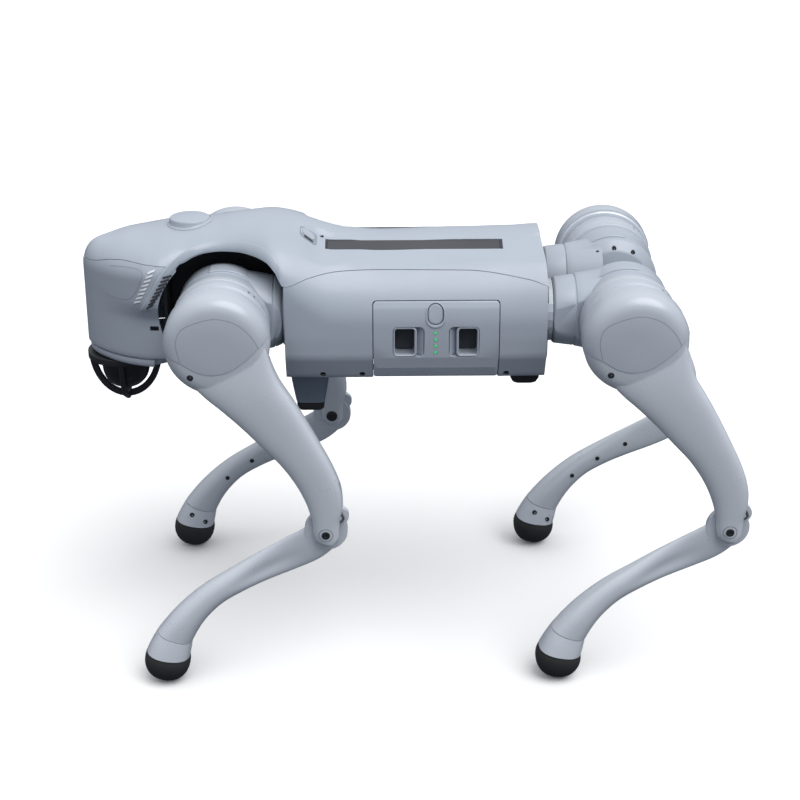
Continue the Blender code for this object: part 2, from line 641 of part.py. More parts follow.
def thigh_inner(leg):
    """Inner half of the thigh, with the round plate that the thigh motor turns."""
    thigh = add_object(f"thigh_inner_{leg.name}", thigh_half(leg, "inner"), "leg_silver", leg.hip)
    cut(thigh, leg.turned(((0.1188, DOME_R + 0.0006), (0.1500, DOME_R + 0.0006)), (leg.x, 0.0), 26))
    join(thigh, leg.turned(((0.1150, 0.0470), (0.1160, 0.0482), (0.1186, 0.0482)), (leg.x, 0.0), 26))
    cut(thigh, leg.turned(((0.1349, 0.0292), (0.1480, 0.0292)), leg.knee, 20))
    corners = ((0.155, -0.004), (0.155, 0.030), (0.240, 0.030), (0.240, -0.004))
    cut(thigh, leg.prism([leg.thigh_point(a, b) for a, b in corners], 0.1341, 0.1480))
    cut(thigh, leg.turned(((0.1250, 0.0048), (0.1400, 0.0048)), leg.knee, 14))
    return thigh


def knee_motor(leg):
    """Motor inside the top of the thigh that folds the knee through the crank and rod."""
    levels = ((0.1192, 0.0385), (0.1200, 0.0395), (0.1372, 0.0395), (0.1380, 0.0385))
    return add_object(f"knee_motor_{leg.name}", leg.turned(levels, (leg.x, 0.0), 24), "motor_grey", leg.hip)


def crank_tip(leg):
    """Direction of the linkage arms at rest, up and back from the knee."""
    return (-0.66 * CRANK, 0.7513 * CRANK)


def arm(leg, start, end, radii, low, high):
    """Flat bar with round ends between two points of the leg's plane."""
    turn = math.degrees(math.atan2(end[1] - start[1], end[0] - start[0]))
    outline = arc(start, radii[0], turn + 90, turn + 270, 8) + arc(end, radii[1], turn - 90, turn + 90, 8)
    return leg.prism(outline, low, high)


def knee_crank(leg):
    tip = crank_tip(leg)
    end = (leg.x + tip[0], tip[1])
    crank = arm(leg, (leg.x, 0.0), end, (0.0085, 0.0050), 0.1384, 0.1424)
    found = add_object(f"knee_crank_{leg.name}", crank, "steel", leg.hip)
    join(found, leg.turned(((0.1400, 0.0022), (0.1472, 0.0022)), end, 10))
    return found


def knee_rod(leg):
    tip = crank_tip(leg)
    top = (leg.x + tip[0], tip[1])
    low = (leg.knee[0] + tip[0], leg.knee[1] + tip[1])
    rod = arm(leg, top, low, (0.0048, 0.0048), 0.1430, 0.1468)
    found = add_object(f"knee_rod_{leg.name}", rod, "steel", (top[0], leg.side * LEG_Y, top[1]))
    cut(found, leg.turned(((0.1400, 0.0026), (0.1500, 0.0026)), top, 12))
    cut(found, leg.turned(((0.1400, 0.0028), (0.1500, 0.0028)), low, 12))
    return found


# Shin: distance down the limb, middle and half width across it, turn of the slice, its inner and outer Y.
SHIN = ((-0.006, -0.0020, 0.0150, 0.0, 0.1353, 0.1426), (0.010, -0.0028, 0.0170, 2.0, 0.1353, 0.1427),
        (0.026, -0.0010, 0.0178, 6.0, 0.1352, 0.1428), (0.048, 0.0045, 0.0168, 12.0, 0.1345, 0.1432),
        (0.074, 0.0117, 0.0148, 16.0, 0.1330, 0.1465), (0.100, 0.0176, 0.0130, 12.0, 0.1312, 0.1510),
        (0.125, 0.0218, 0.0125, 1.0, 0.1295, 0.1538), (0.148, 0.0218, 0.0135, -12.0, 0.1275, 0.1560),
        (0.168, 0.0190, 0.0153, -22.0, 0.1258, 0.1580), (0.1872, 0.0139, 0.0176, -29.5, 0.1247, 0.1592))
ANKLE = ((0.1878, 0.0136, 0.0178, -30.0, 0.1246, 0.1593), (0.197, 0.0090, 0.0197, -35.0, 0.1226, 0.1614),
         (0.2060, 0.0042, 0.0212, -39.0, 0.1208, 0.1632))


def limb_ring(leg, a, b, half, turn, inner, outer, steps=12):
    """Oval slice across the shin, square to its bent centre line."""
    angle = math.radians(turn)
    middle, thick = (inner + outer) / 2, (outer - inner) / 2
    ring = []
    for k in range(steps):
        t = 2 * math.pi * k / steps
        u = half * math.copysign(abs(math.cos(t)) ** 0.9, math.cos(t))
        v = thick * math.copysign(abs(math.sin(t)) ** 0.8, math.sin(t))
        p = leg.shin_point(a - u * math.sin(angle), b + u * math.cos(angle))
        ring.append((p[0], leg.side * (middle + v), p[1]))
    return ring


def shin_shell(leg):
    """Curved shin with a flat head that turns between the thigh halves, and a heel for the knee rod."""
    head = leg.turned(((0.1353, 0.0195), (0.1362, 0.0207), (0.1426, 0.0207)), leg.knee, 24)
    shin = add_object(f"shin_{leg.name}", head, "leg_silver", leg.knee_pivot)
    join(shin, loft([limb_ring(leg, *row) for row in SHIN]))
    tip = crank_tip(leg)
    pin = (leg.knee[0] + tip[0], leg.knee[1] + tip[1])
    join(shin, leg.turned(((0.1357, 0.0088), (0.1424, 0.0088)), pin, 14))
    join(shin, leg.turned(((0.1400, 0.0021), (0.1472, 0.0021)), pin, 10))
    cut(shin, leg.turned(((0.1300, 0.0048), (0.1550, 0.0048)), leg.knee, 14))
    return shin


def ankle(leg):
    rings = [limb_ring(leg, *row) for row in ANKLE]
    return add_object(f"ankle_{leg.name}", loft(rings), "leg_silver", leg.knee_pivot)


def foot(leg):
    """Rubber ball foot, cut square where it meets the ankle."""
    a, b, half, turn, inner, outer = ANKLE[-1]
    angle = math.radians(turn)
    into = 0.0080  # from the ankle's end to the middle of the ball
    rings = []
    for deep in (GAP, 0.005, 0.0100, 0.0160, 0.0215, 0.0260, 0.0290, 0.0303):
        size = math.sqrt(max(FOOT_R ** 2 - (deep - into) ** 2, 1e-6))
        size = min(size, 0.0209 + deep * 0.3)
        centre = (a + deep * math.cos(angle), b + deep * math.sin(angle))
        rings.append(limb_ring(leg, *centre, size, turn, LEG_Y - size, LEG_Y + size, 18))
    return add_object(f"foot_{leg.name}", loft(rings), "rubber_black", leg.knee_pivot)


def build_leg(x_side, y_side):
    leg = Leg(x_side, y_side)
    abduction_motor(x_side, y_side, f"abduction_motor_{leg.name}")
    hip_link(leg)
    thigh_motor(leg)
    thigh_outer(leg)
    thigh_inner(leg)
    knee_motor(leg)
    knee_crank(leg)
    knee_rod(leg)
    shin_shell(leg)
    ankle(leg)
    foot(leg)


def build():
    clear_scene()
    top_cover()
    side_covers()
    rails()
    face_shell()
    chin_ring()
    antenna_puck()
    chassis()
    battery_pack()
    power_button()
    belly_pads()
    lidar_core()
    lidar_cage()
    for x_side in (1, -1):
        for y_side in (1, -1):
            build_leg(x_side, y_side)


build()
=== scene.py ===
"""Quadruped robot dog: the finished visual model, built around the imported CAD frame.

Shapes are written in the hip frame (metres, origin midway between the four hip axes), as in the CAD.
"""

import json
import math

import bmesh
import bpy
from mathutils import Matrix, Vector
from mathutils.bvhtree import BVHTree

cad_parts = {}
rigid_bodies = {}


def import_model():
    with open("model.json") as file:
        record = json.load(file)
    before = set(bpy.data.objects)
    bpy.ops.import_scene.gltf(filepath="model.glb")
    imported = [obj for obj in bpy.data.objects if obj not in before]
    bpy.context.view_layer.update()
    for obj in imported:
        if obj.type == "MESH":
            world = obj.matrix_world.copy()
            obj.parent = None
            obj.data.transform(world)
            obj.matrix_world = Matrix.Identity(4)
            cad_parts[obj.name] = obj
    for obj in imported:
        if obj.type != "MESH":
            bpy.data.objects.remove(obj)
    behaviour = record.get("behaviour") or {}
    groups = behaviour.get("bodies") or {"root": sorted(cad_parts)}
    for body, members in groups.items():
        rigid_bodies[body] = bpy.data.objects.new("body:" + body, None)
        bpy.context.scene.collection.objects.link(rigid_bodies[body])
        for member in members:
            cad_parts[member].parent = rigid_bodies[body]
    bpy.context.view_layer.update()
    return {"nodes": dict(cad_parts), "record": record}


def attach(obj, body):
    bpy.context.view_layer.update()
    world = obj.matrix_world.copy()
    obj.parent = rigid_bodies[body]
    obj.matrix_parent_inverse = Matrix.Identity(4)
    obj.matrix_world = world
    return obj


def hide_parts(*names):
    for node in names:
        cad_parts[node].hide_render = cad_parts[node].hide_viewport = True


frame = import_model()

# ---------------------------------------------------------------- driving dimensions
HIP_X = 0.1934  # hip axes ahead of and behind the middle of the trunk
HIP_Y = 0.0465  # abduction axes, either side of the middle
LEG_Y = 0.1420  # plane that each leg swings in
HIP_Z = 0.35245  # height of the hip axes above the ground
MID_X = 0.01095  # middle of the whole robot, ahead of the middle of the trunk
LIMB = 0.2130  # hip to knee, and knee to foot
LEAN = math.radians(27.3)  # thigh, back from straight down
FOLD = math.radians(76.0)  # knee, away from a straight leg
SHELL = 0.0028  # thickness of the covers
GAP = 0.0004  # clearance between two covers
REAR_X, NOSE_X = -0.118, 0.334
BELLY_Z = -0.0606
CHIN_Z = -0.0445
SCREW_X = (0.098, 0.060, -0.079)  # side screws along the lower edge
SCREW_UP = 0.0048  # their height above the belly
HOUSING_R, RING_R, DOME_R = 0.0445, 0.0465, 0.0490
BAY_LOW, BAY_HIGH = (-0.0712, -0.0740), (0.0500, 0.0219)  # battery opening, X and Z
FACE_LOW, FACE_HIGH = (-0.0704, -0.0592), (0.0492, 0.0211)  # battery's outer face, X and Z
BUTTON = (-0.0099, 0.0090)  # middle of the power button, X and Z
POCKETS = ((0.0005, 0.0310), (-0.0520, -0.0225))  # X range of each finger pocket
POCKET_LOW, POCKET_HIGH = -0.0340, -0.0028
RAIL_Y, RAIL_Z = 0.0280, 0.0602  # middle of a rail's face
RAIL_TILT = math.radians(19.0)  # the rails lean outwards with the shoulders
RAIL_WIDE, RAIL_THICK = 0.0150, 0.0030
RAIL_REAR, RAIL_FRONT = -0.0755, 0.0945
LIDAR_X, CAGE_R = 0.2982, 0.0368
FOOT_R = 0.0225
PROUD = 0.00025  # how far printed and inlaid marks stand out of the skin
SMOOTH = math.radians(35.0)  # edges sharper than this stay sharp
TO_WORLD = Vector((-MID_X, 0, HIP_Z))
SIDES = ((1, "left"), (-1, "right"))
CAMERA_AT = (0.048, 1.603, 0.577)  # in the hip frame
CAMERA_YAW, CAMERA_PITCH = math.radians(-0.91), math.radians(23.34)
CAMERA_LENS = 77.1

# Lines of the hull against X: height of the spine, half width of the flank, half width of the cheek,
# height where the flank turns into the top, and height of the seam under the top cover.
SPINE = ((-0.118, 0.0695), (-0.113, 0.0695), (-0.085, 0.0678), (-0.056, 0.0668), (-0.026, 0.0655),
         (0.042, 0.0635), (0.071, 0.0656), (0.100, 0.0735), (0.129, 0.0814), (0.158, 0.0840),
         (0.180, 0.0826), (0.205, 0.0785), (0.227, 0.0757), (0.247, 0.0738), (0.266, 0.0708),
         (0.2855, 0.0688), (0.315, 0.0615), (0.334, 0.0600))
FLANK = ((-0.118, 0.0830), (-0.060, 0.0850), (0.050, 0.0855), (0.120, 0.0850), (0.134, 0.0835),
         (0.143, 0.0775), (0.152, 0.0680), (0.165, 0.0560), (0.180, 0.0480), (0.1934, 0.0460),
         (0.208, 0.0475), (0.220, 0.0510), (0.2325, 0.0570), (0.2434, 0.0640), (0.2549, 0.0680),
         (0.2644, 0.0675), (0.2743, 0.0630), (0.288, 0.0545), (0.3019, 0.0440), (0.313, 0.0335),
         (0.3222, 0.0235), (0.330, 0.0112), (0.334, 0.0010))
CHEEK = ((0.2434, 0.0585), (0.2549, 0.0590), (0.2644, 0.0585), (0.2743, 0.0560), (0.288, 0.0505),
         (0.3019, 0.0420), (0.313, 0.0328), (0.3222, 0.0232), (0.330, 0.0112), (0.334, 0.0010))
EDGE = ((-0.118, -0.0040), (0.085, -0.0020), (0.110, 0.0120), (0.134, 0.0360), (0.152, 0.0540),
        (0.180, 0.0600), (0.208, 0.0600), (0.2325, 0.0510), (0.2549, 0.0415), (0.288, 0.0360),
        (0.334, 0.0340))
SEAM = ((-0.118, 0.0319), (-0.100, 0.0377), (-0.040, 0.0451), (0.060, 0.0453), (0.085, 0.0450),
        (0.110, 0.0425), (0.1335, 0.0365), (0.1412, 0.0490), (0.1502, 0.0565), (0.1636, 0.0590),
        (0.1786, 0.0600), (0.1934, 0.0600), (0.2079, 0.0590), (0.2196, 0.0560), (0.2297, 0.0515),
        (0.2380, 0.0500), (0.2480, 0.0510), (0.262, 0.0520), (0.285, 0.0525), (0.303, 0.0500),
        (0.3190, 0.0450), (0.334, 0.0420))


# ---------------------------------------------------------------- materials
def nodes_of(name):
    material = bpy.data.materials.new(name)
    material.use_nodes = True
    tree = material.node_tree
    return material, tree, tree.nodes["Principled BSDF"]


def noise(tree, scale, detail=3.0, stretch=(1, 1, 1)):
    """Noise fixed to the piece, so that it moves with it."""
    where = tree.nodes.new("ShaderNodeTexCoord")
    size = tree.nodes.new("ShaderNodeMapping")
    size.inputs["Scale"].default_value = stretch
    found = tree.nodes.new("ShaderNodeTexNoise")
    found.inputs["Scale"].default_value = scale
    found.inputs["Detail"].default_value = detail
    tree.links.new(where.outputs["Object"], size.inputs["Vector"])
    tree.links.new(size.outputs["Vector"], found.inputs["Vector"])
    return found.outputs["Fac"]


def remap(tree, source, low, high, first, last):
    found = tree.nodes.new("ShaderNodeMapRange")
    for key, value in zip(("From Min", "From Max", "To Min", "To Max"), (low, high, first, last)):
        found.inputs[key].default_value = value
    tree.links.new(source, found.inputs["Value"])
    return found.outputs["Result"]


def mix(tree, factor, first, last):
    found = tree.nodes.new("ShaderNodeMix")
    found.data_type = "RGBA"
    tree.links.new(factor, found.inputs["Factor"])
    for socket, value in ((found.inputs[6], first), (found.inputs[7], last)):
        if isinstance(value, tuple):
            socket.default_value = (*value, 1.0)
        else:
            tree.links.new(value, socket)
    return found.outputs[2]


def edge_mask(tree, radius):
    """1 near sharp edges, 0 on open surface: the rounded normal turns away from the true one there."""
    rounded = tree.nodes.new("ShaderNodeBevel")
    rounded.inputs["Radius"].default_value = radius
    true = tree.nodes.new("ShaderNodeNewGeometry")
    dot = tree.nodes.new("ShaderNodeVectorMath")
    dot.operation = "DOT_PRODUCT"
    tree.links.new(rounded.outputs["Normal"], dot.inputs[0])
    tree.links.new(true.outputs["Normal"], dot.inputs[1])
    return remap(tree, dot.outputs["Value"], 0.99, 0.80, 0.0, 1.0)


def finish(name, colour, rough, grain, height, vary, metal=0.0, worn=0.25, coat=0.0,
           stretch=(1, 1, 1), soft_edge=0.0005):
    """Moulded or painted surface: grain in the bump, clouding in colour and gloss, lighter worn edges."""
    material, tree, shader = nodes_of(name)
    cloud = noise(tree, 14.0, 4.0)
    fine = noise(tree, grain, 2.0, stretch)
    dark = tuple(c * (1 - vary) for c in colour)
    light = tuple(min(1.0, c * (1 + vary)) for c in colour)
    base = mix(tree, remap(tree, cloud, 0.3, 0.7, 0.0, 1.0), dark, light)
    fleck = tuple(min(1.0, c * 1.12) for c in colour)
    speckle = mix(tree, remap(tree, fine, 0.35, 0.75, 0.0, 0.35), base, fleck)
    scuffs = tree.nodes.new("ShaderNodeMath")
    scuffs.operation = "MULTIPLY"
    tree.links.new(edge_mask(tree, 0.0012), scuffs.inputs[0])
    tree.links.new(remap(tree, noise(tree, 60.0, 5.0), 0.45, 0.65, 0.0, worn), scuffs.inputs[1])
    bare = tuple(min(1.0, c * 1.25 + 0.06) for c in colour)
    tree.links.new(mix(tree, scuffs.outputs[0], speckle, bare), shader.inputs["Base Color"])
    tree.links.new(remap(tree, noise(tree, 35.0, 5.0), 0.3, 0.7, rough - 0.05, rough + 0.06),
                   shader.inputs["Roughness"])
    shader.inputs["Metallic"].default_value = metal
    shader.inputs["Coat Weight"].default_value = coat
    shader.inputs["Coat Roughness"].default_value = 0.18
    rounded = tree.nodes.new("ShaderNodeBevel")
    rounded.inputs["Radius"].default_value = soft_edge
    bump = tree.nodes.new("ShaderNodeBump")
    bump.inputs["Strength"].default_value = 0.5
    bump.inputs["Distance"].default_value = height * 0.001
    tree.links.new(fine, bump.inputs["Height"])
    tree.links.new(rounded.outputs["Normal"], bump.inputs["Normal"])
    tree.links.new(bump.outputs["Normal"], shader.inputs["Normal"])
    material.diffuse_color = (*colour, 1.0)
    return material


def lamp_material(name, colour, power):
    """Small light guide: clouded green plastic lit from behind."""
    material, tree, shader = nodes_of(name)
    cloud = remap(tree, noise(tree, 900.0), 0.3, 0.7, 0.0, 1.0)
    glow = mix(tree, cloud, colour, tuple(c * 0.6 for c in colour))
    tree.links.new(glow, shader.inputs["Base Color"])
    tree.links.new(glow, shader.inputs["Emission Color"])
    shader.inputs["Emission Strength"].default_value = power
    shader.inputs["Roughness"].default_value = 0.25
    return material


FINISHES = {
    "shell_grey": dict(colour=(0.375, 0.418, 0.480), rough=0.38, grain=1400.0, height=0.03, vary=0.03,
                       worn=0.10, coat=0.15),
    "leg_silver": dict(colour=(0.60, 0.64, 0.70), rough=0.30, metal=0.15, grain=1400.0, height=0.02,
                       vary=0.03, worn=0.0, coat=0.15, soft_edge=0.0003),
    # thigh caps: the shell's own grey plastic, painted lighter to stand for the light on them (painted
    # light)
    "dome_grey": dict(colour=(0.46, 0.50, 0.56), rough=0.32, metal=0.05, grain=1400.0, height=0.03,
                      vary=0.03, worn=0.0, coat=0.15),
    "motor_grey": dict(colour=(0.46, 0.50, 0.56), rough=0.42, metal=0.10, grain=1800.0, height=0.03,
                       vary=0.04),
    "dark_rail": dict(colour=(0.060, 0.064, 0.072), rough=0.50, metal=0.2, grain=1600.0, height=0.05,
                      vary=0.10),
    "black_plastic": dict(colour=(0.012, 0.013, 0.016), rough=0.48, grain=1300.0, height=0.08, vary=0.15,
                          worn=0.12),
    "black_glass": dict(colour=(0.005, 0.006, 0.008), rough=0.34, grain=300.0, height=0.004, vary=0.1,
                        worn=0.0),
    "rubber_black": dict(colour=(0.018, 0.018, 0.020), rough=0.78, grain=700.0, height=0.25, vary=0.2,
                         worn=0.35),
    # the front pad's pedestal is grey shell plastic, coloured dark slate as it looks in shade: painted shade
    "pad_slate": dict(colour=(0.16, 0.20, 0.26), rough=0.55, grain=1000.0, height=0.06, vary=0.06),
    "steel": dict(colour=(0.50, 0.51, 0.53), rough=0.26, metal=1.0, grain=500.0, height=0.03, vary=0.05,
                  stretch=(1, 1, 14)),
    "ink_white": dict(colour=(0.80, 0.82, 0.85), rough=0.45, grain=1500.0, height=0.02, vary=0.03,
                      worn=0.0),
    # darker copy of the shell's grey: painted shade in recesses, round lamps and the knee axle, and along
    # creases and edges
    "pocket_grey": dict(colour=(0.25, 0.285, 0.335), rough=0.5, grain=1300.0, height=0.05, vary=0.05),
    # dark joints, rail caps and vents, and also painted shade in the battery slits, pocket holes and bolt
    # wells
    "seam_dark": dict(colour=(0.030, 0.034, 0.042), rough=0.6, grain=900.0, height=0.03, vary=0.1,
                      worn=0.0),
}
MATERIALS = {name: finish(name, **look) for name, look in FINISHES.items()}
MATERIALS["lamp_green"] = lamp_material("lamp_green", (0.10, 0.62, 0.24), 0.55)
DECLARED = {}  # piece name: its material, its body and the CAD nodes it stands for
SLOTS = {"dome_grey": "shell_grey", "ink_white": "shell_grey", "pocket_grey": "shell_grey",
         "seam_dark": "black_plastic", "lamp_green": "black_glass"}  # CAD slot of a finish the CAD lacks


# ---------------------------------------------------------------- curves and outlines
def along(curve, x):
    """Smooth value at x of a list of (x, value), with no overshoot between its points."""
    if x <= curve[0][0]:
        return curve[0][1]
    if x >= curve[-1][0]:
        return curve[-1][1]
    slopes = [(b[1] - a[1]) / (b[0] - a[0]) for a, b in zip(curve, curve[1:])]
    for i, (a, b) in enumerate(zip(curve, curve[1:])):
        if x > b[0]:
            continue
        bend = []
        for k in (i, i + 1):
            before = slopes[max(k - 1, 0)]
            after = slopes[min(k, len(slopes) - 1)]
            bend.append(0.0 if before * after <= 0 else 2 * before * after / (before + after))
        width = b[0] - a[0]
        t = (x - a[0]) / width
        return (a[1] * (1 + 2 * t) * (1 - t) ** 2 + bend[0] * width * t * (1 - t) ** 2
                + b[1] * t * t * (3 - 2 * t) + bend[1] * width * t * t * (t - 1))
    return curve[-1][1]


def resample(points, count):
    """count points evenly spaced along a line of points."""
    lengths = [0.0]
    for a, b in zip(points, points[1:]):
        lengths.append(lengths[-1] + math.dist(a, b))
    found = []
    k = 0
    for i in range(count):
        want = lengths[-1] * i / (count - 1)
        while k < len(points) - 2 and lengths[k + 1] < want:
            k += 1
        span = lengths[k + 1] - lengths[k]
        t = min(1.0, (want - lengths[k]) / span) if span else 0.0
        found.append(tuple(p + (q - p) * t for p, q in zip(points[k], points[k + 1])))
    return found


def curved(points, steps=6):
    """Smooth line through points of any dimension."""
    count = len(points)
    found = []
    for i in range(count - 1):
        p = [points[min(max(i + k, 0), count - 1)] for k in (-1, 0, 1, 2)]
        for s in range(steps):
            t = s / steps
            found.append(tuple(
                0.5 * (2 * b + (c - a) * t + (2 * a - 5 * b + 4 * c - d) * t * t
                       + (3 * b - a - 3 * c + d) * t ** 3)
                for a, b, c, d in zip(*p)))
    found.append(tuple(points[-1]))
    return found


def between(first, last, count):
    return [first + (last - first) * i / (count - 1) for i in range(count)]


def arc(centre, radius, first, last, steps):
    """Points of an arc in a plane, from one angle to another in degrees."""
    found = []
    for angle in between(math.radians(first), math.radians(last), steps + 1):
        found.append((centre[0] + radius * math.cos(angle), centre[1] + radius * math.sin(angle)))
    return found


def rounded_box(low, high, radius, steps=6):
    """Outline of a rectangle with round corners."""
    (x0, y0), (x1, y1) = low, high
    corners = ((x1 - radius, y1 - radius, 0), (x0 + radius, y1 - radius, 90),
               (x0 + radius, y0 + radius, 180), (x1 - radius, y0 + radius, 270))
    found = []
    for x, y, start in corners:
        found += arc((x, y), radius, start, start + 90, steps)
    return found


# ---------------------------------------------------------------- solids
def loft(rings, folded=False, open_ends=False):
    """Closed solid through rings of equal length. A folded loft ends in a ring that lies on itself."""
    mesh = bmesh.new()
    rows = [[mesh.verts.new(p) for p in ring] for ring in rings]
    for low, high in zip(rows, rows[1:]):
        for i in range(len(low)):
            j = (i + 1) % len(low)
            mesh.faces.new((low[i], low[j], high[j], high[i]))
    if not open_ends:
        mesh.faces.new(rows[0][::-1])
    if folded:
        bmesh.ops.remove_doubles(mesh, verts=rows[-1], dist=0.00001)
    elif not open_ends:
        mesh.faces.new(rows[-1])
    bmesh.ops.recalc_face_normals(mesh, faces=mesh.faces)
    return mesh


def hoop(rings):
    """Closed band through rings, the last joined to the first."""
    mesh = loft([*rings, rings[0]], open_ends=True)
    bmesh.ops.remove_doubles(mesh, verts=mesh.verts, dist=0.0000005)
    bmesh.ops.recalc_face_normals(mesh, faces=mesh.faces)
    return mesh


def placed(axis, along_axis, first, second):
    """A point given by its distance along an axis and its two coordinates across it."""
    if axis == "X":
        return (along_axis, first, second)
    if axis == "Y":
        return (first, along_axis, second)
    return (first, second, along_axis)


def prism(outline, axis, low, high):
    return loft([[placed(axis, d, *p) for p in outline] for d in (low, high)])


def box(low, high):
    outline = ((low[0], low[1]), (high[0], low[1]), (high[0], high[1]), (low[0], high[1]))
    return prism(outline, "Z", low[2], high[2])


def turned(profile, centre, axis, steps=64):
    """Solid of revolution: profile is (distance along the axis, radius), and is closed by discs."""
    rings = []
    for d, radius in profile:
        rings.append([placed(axis, d, *p) for p in arc(centre, max(radius, 0.0003), 0, 360, steps)[:-1]])
    return loft(rings)


def soft_profile(profile, radius=0.0008, steps=3):
    """A turned profile with its corners rounded."""
    found = [profile[0]]
    for a, b, c in zip(profile, profile[1:], profile[2:]):
        reach = min(radius, math.dist(a, b) * 0.45, math.dist(b, c) * 0.45)
        start = tuple(q + (p - q) * reach / math.dist(a, b) for p, q in zip(a, b))
        end = tuple(q + (p - q) * reach / math.dist(b, c) for p, q in zip(c, b))
        for i in range(steps + 1):
            t = i / steps
            found.append(tuple(s * (1 - t) ** 2 + 2 * m * t * (1 - t) + e * t * t
                               for s, m, e in zip(start, b, end)))
    found.append(profile[-1])
    return found


def linked(name, data):
    """An object in the scene."""
    obj = bpy.data.objects.new(name, data)
    bpy.context.scene.collection.objects.link(obj)
    return obj


def from_hip_frame(name, mesh):
    """An object from a mesh in the hip frame, which is used up."""
    data = bpy.data.meshes.new(name)
    for vertex in mesh.verts:
        vertex.co += TO_WORLD
    mesh.to_mesh(data)
    mesh.free()
    return linked(name, data)


def soften(data):
    data.shade_smooth()
    data.set_sharp_from_angle(angle=SMOOTH)


def add(name, mesh, material, body, *cad_nodes):
    """A finished piece from a mesh in the hip frame, riding on a body and standing for its CAD nodes."""
    obj = from_hip_frame(name, mesh)
    obj.data.materials.append(MATERIALS[material])
    soften(obj.data)
    declare(obj, material, body, *cad_nodes)
    return obj


def declare(obj, material, body, *cad_nodes):
    """Rides a piece on its body, hides the CAD nodes it stands for, and keeps its finish and body for the
    copies of the legs.
    """
    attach(obj, body)
    SLOTS.get(material, material)
    if cad_nodes:
        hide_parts(*cad_nodes)
    DECLARED[obj.name] = (material, body, *cad_nodes)


def shape(obj, *steps):
    """Applies Booleans to a piece: each step is (operation, mesh)."""
    tools = []
    for operation, mesh in steps:
        tool = from_hip_frame("helper", mesh)
        tools.append(tool)
        modifier = obj.modifiers.new("shape", "BOOLEAN")
        modifier.operation = operation
        modifier.solver = "EXACT"
        modifier.object = tool
    bpy.context.view_layer.update()
    graph = bpy.context.evaluated_depsgraph_get()
    data = bpy.data.meshes.new_from_object(obj.evaluated_get(graph))
    obj.modifiers.clear()
    old = obj.data
    obj.data = data
    data.name = obj.name
    bpy.data.meshes.remove(old)
    for tool in tools:
        bpy.data.objects.remove(tool, do_unlink=True)
    soften(data)
    return obj


def cut(obj, *meshes):
    return shape(obj, *[("DIFFERENCE", mesh) for mesh in meshes])


# ---------------------------------------------------------------- details laid on a surface
class Skin:
    """Surface of a finished piece, which details are laid on by looking along an axis at it."""

    def __init__(self, obj, axis="Y", side=1):
        bpy.context.view_layer.update()
        self.tree = BVHTree.FromObject(obj, bpy.context.evaluated_depsgraph_get())
        self.axis, self.side = axis, side

    def point(self, a, b):
        """Point and normal of the skin at two hip-frame coordinates across the axis."""
        start = Vector(placed(self.axis, self.side * 0.8, a, b)) + TO_WORLD
        way = Vector(placed(self.axis, -self.side, 0, 0))
        spot, normal, _, _ = self.tree.ray_cast(start, way)
        if spot is None:
            return None
        if normal.dot(way) > 0:
            normal.negate()
        return spot - TO_WORLD, normal

    def spot(self, a, b):
        return tuple(self.point(a, b)[0])


def plate(name, skin, outline, material, body, proud=PROUD, deep=0.0006):
    """Thin inlay with an outline in the plane across the skin's axis."""
    hits = [skin.point(*p) for p in outline]
    if any(hit is None for hit in hits):
        raise ValueError(f"{name} runs off its surface")
    top = [tuple(p + n * proud) for p, n in hits]
    low = [tuple(p - n * deep) for p, n in hits]
    return add(name, loft([low, top]), material, body)


def ribbon(name, skin, line, width, material, body, proud=PROUD, deep=0.0006):
    """Thin strip of constant width that follows a line over the skin."""
    rings = []
    for i, p in enumerate(line):
        a, b = line[max(i - 1, 0)], line[min(i + 1, len(line) - 1)]
        length = math.dist(a, b) or 1.0
        across = ((b[1] - a[1]) / length * width / 2, -(b[0] - a[0]) / length * width / 2)
        left = skin.point(p[0] - across[0], p[1] - across[1])
        right = skin.point(p[0] + across[0], p[1] + across[1])
        if left is None or right is None:
            continue
        (p1, n1), (p2, n2) = left, right
        rings.append([tuple(p1 - n1 * deep), tuple(p1 + n1 * proud),
                      tuple(p2 + n2 * proud), tuple(p2 - n2 * deep)])
    return add(name, loft(rings), material, body)


def disc(name, skin, centre, radius, material, body, proud):
    return plate(name, skin, arc(centre, radius, 0, 360, 20)[:-1], material, body, proud, 0.001)


def ring_mark(name, skin, centre, radius, width, material, body):
    return ribbon(name, skin, arc(centre, radius, 0, 360, 40), width, material, body, 0.0001)


def bolt(name, spot, axis, way, radius, body, head):
    """Socket-head screw: a domed head with a six-sided recess, pointing along way on the Y or Z axis."""
    x, y, z = spot
    d, centre = (y, (x, z)) if axis == "Y" else (z, (x, y))
    rise = way * head
    profile = ((d - rise, radius), (d + rise * 0.55, radius), (d + rise * 0.85, radius * 0.9),
               (d + rise, radius * 0.74))
    screw = add(name, turned(profile, centre, axis, 24), "black_plastic", body)
    socket = arc(centre, radius * 0.5, 0, 360, 6)[:-1]
    return cut(screw, prism(socket, axis, d + rise * 0.1, d + rise * 1.6))


# ---------------------------------------------------------------- body covers
def outline_x(x, inset):
    """X of a hull point: the inner skin of the head is drawn back from the nose."""
    return x - inset * max(0.0, x - 0.25) / (NOSE_X - 0.25)


def spine_x(x):
    """Where the section through a point of the outline reaches the middle: nose sections fan out."""
    nose, tail = max(0.0, (x - 0.25) / (NOSE_X - 0.25)), max(0.0, (-0.104 - x) / 0.014)
    return x - 0.021 * nose ** 2 + 0.006 * tail ** 2


def clip(line, level, above):
    """The part of a rising line of (y, z) above or below a level, cut exactly at it."""
    kept = []
    for a, b in zip(line, line[1:]):
        if a[1] < level < b[1]:
            t = (level - a[1]) / (b[1] - a[1])
            crossing = (a[0] + (b[0] - a[0]) * t, level)
            kept += [crossing, b] if above else [a, crossing]
        elif (a[1] >= level) == above:
            kept += [a, b]
    return [p for i, p in enumerate(kept) if i == 0 or p != kept[i - 1]]


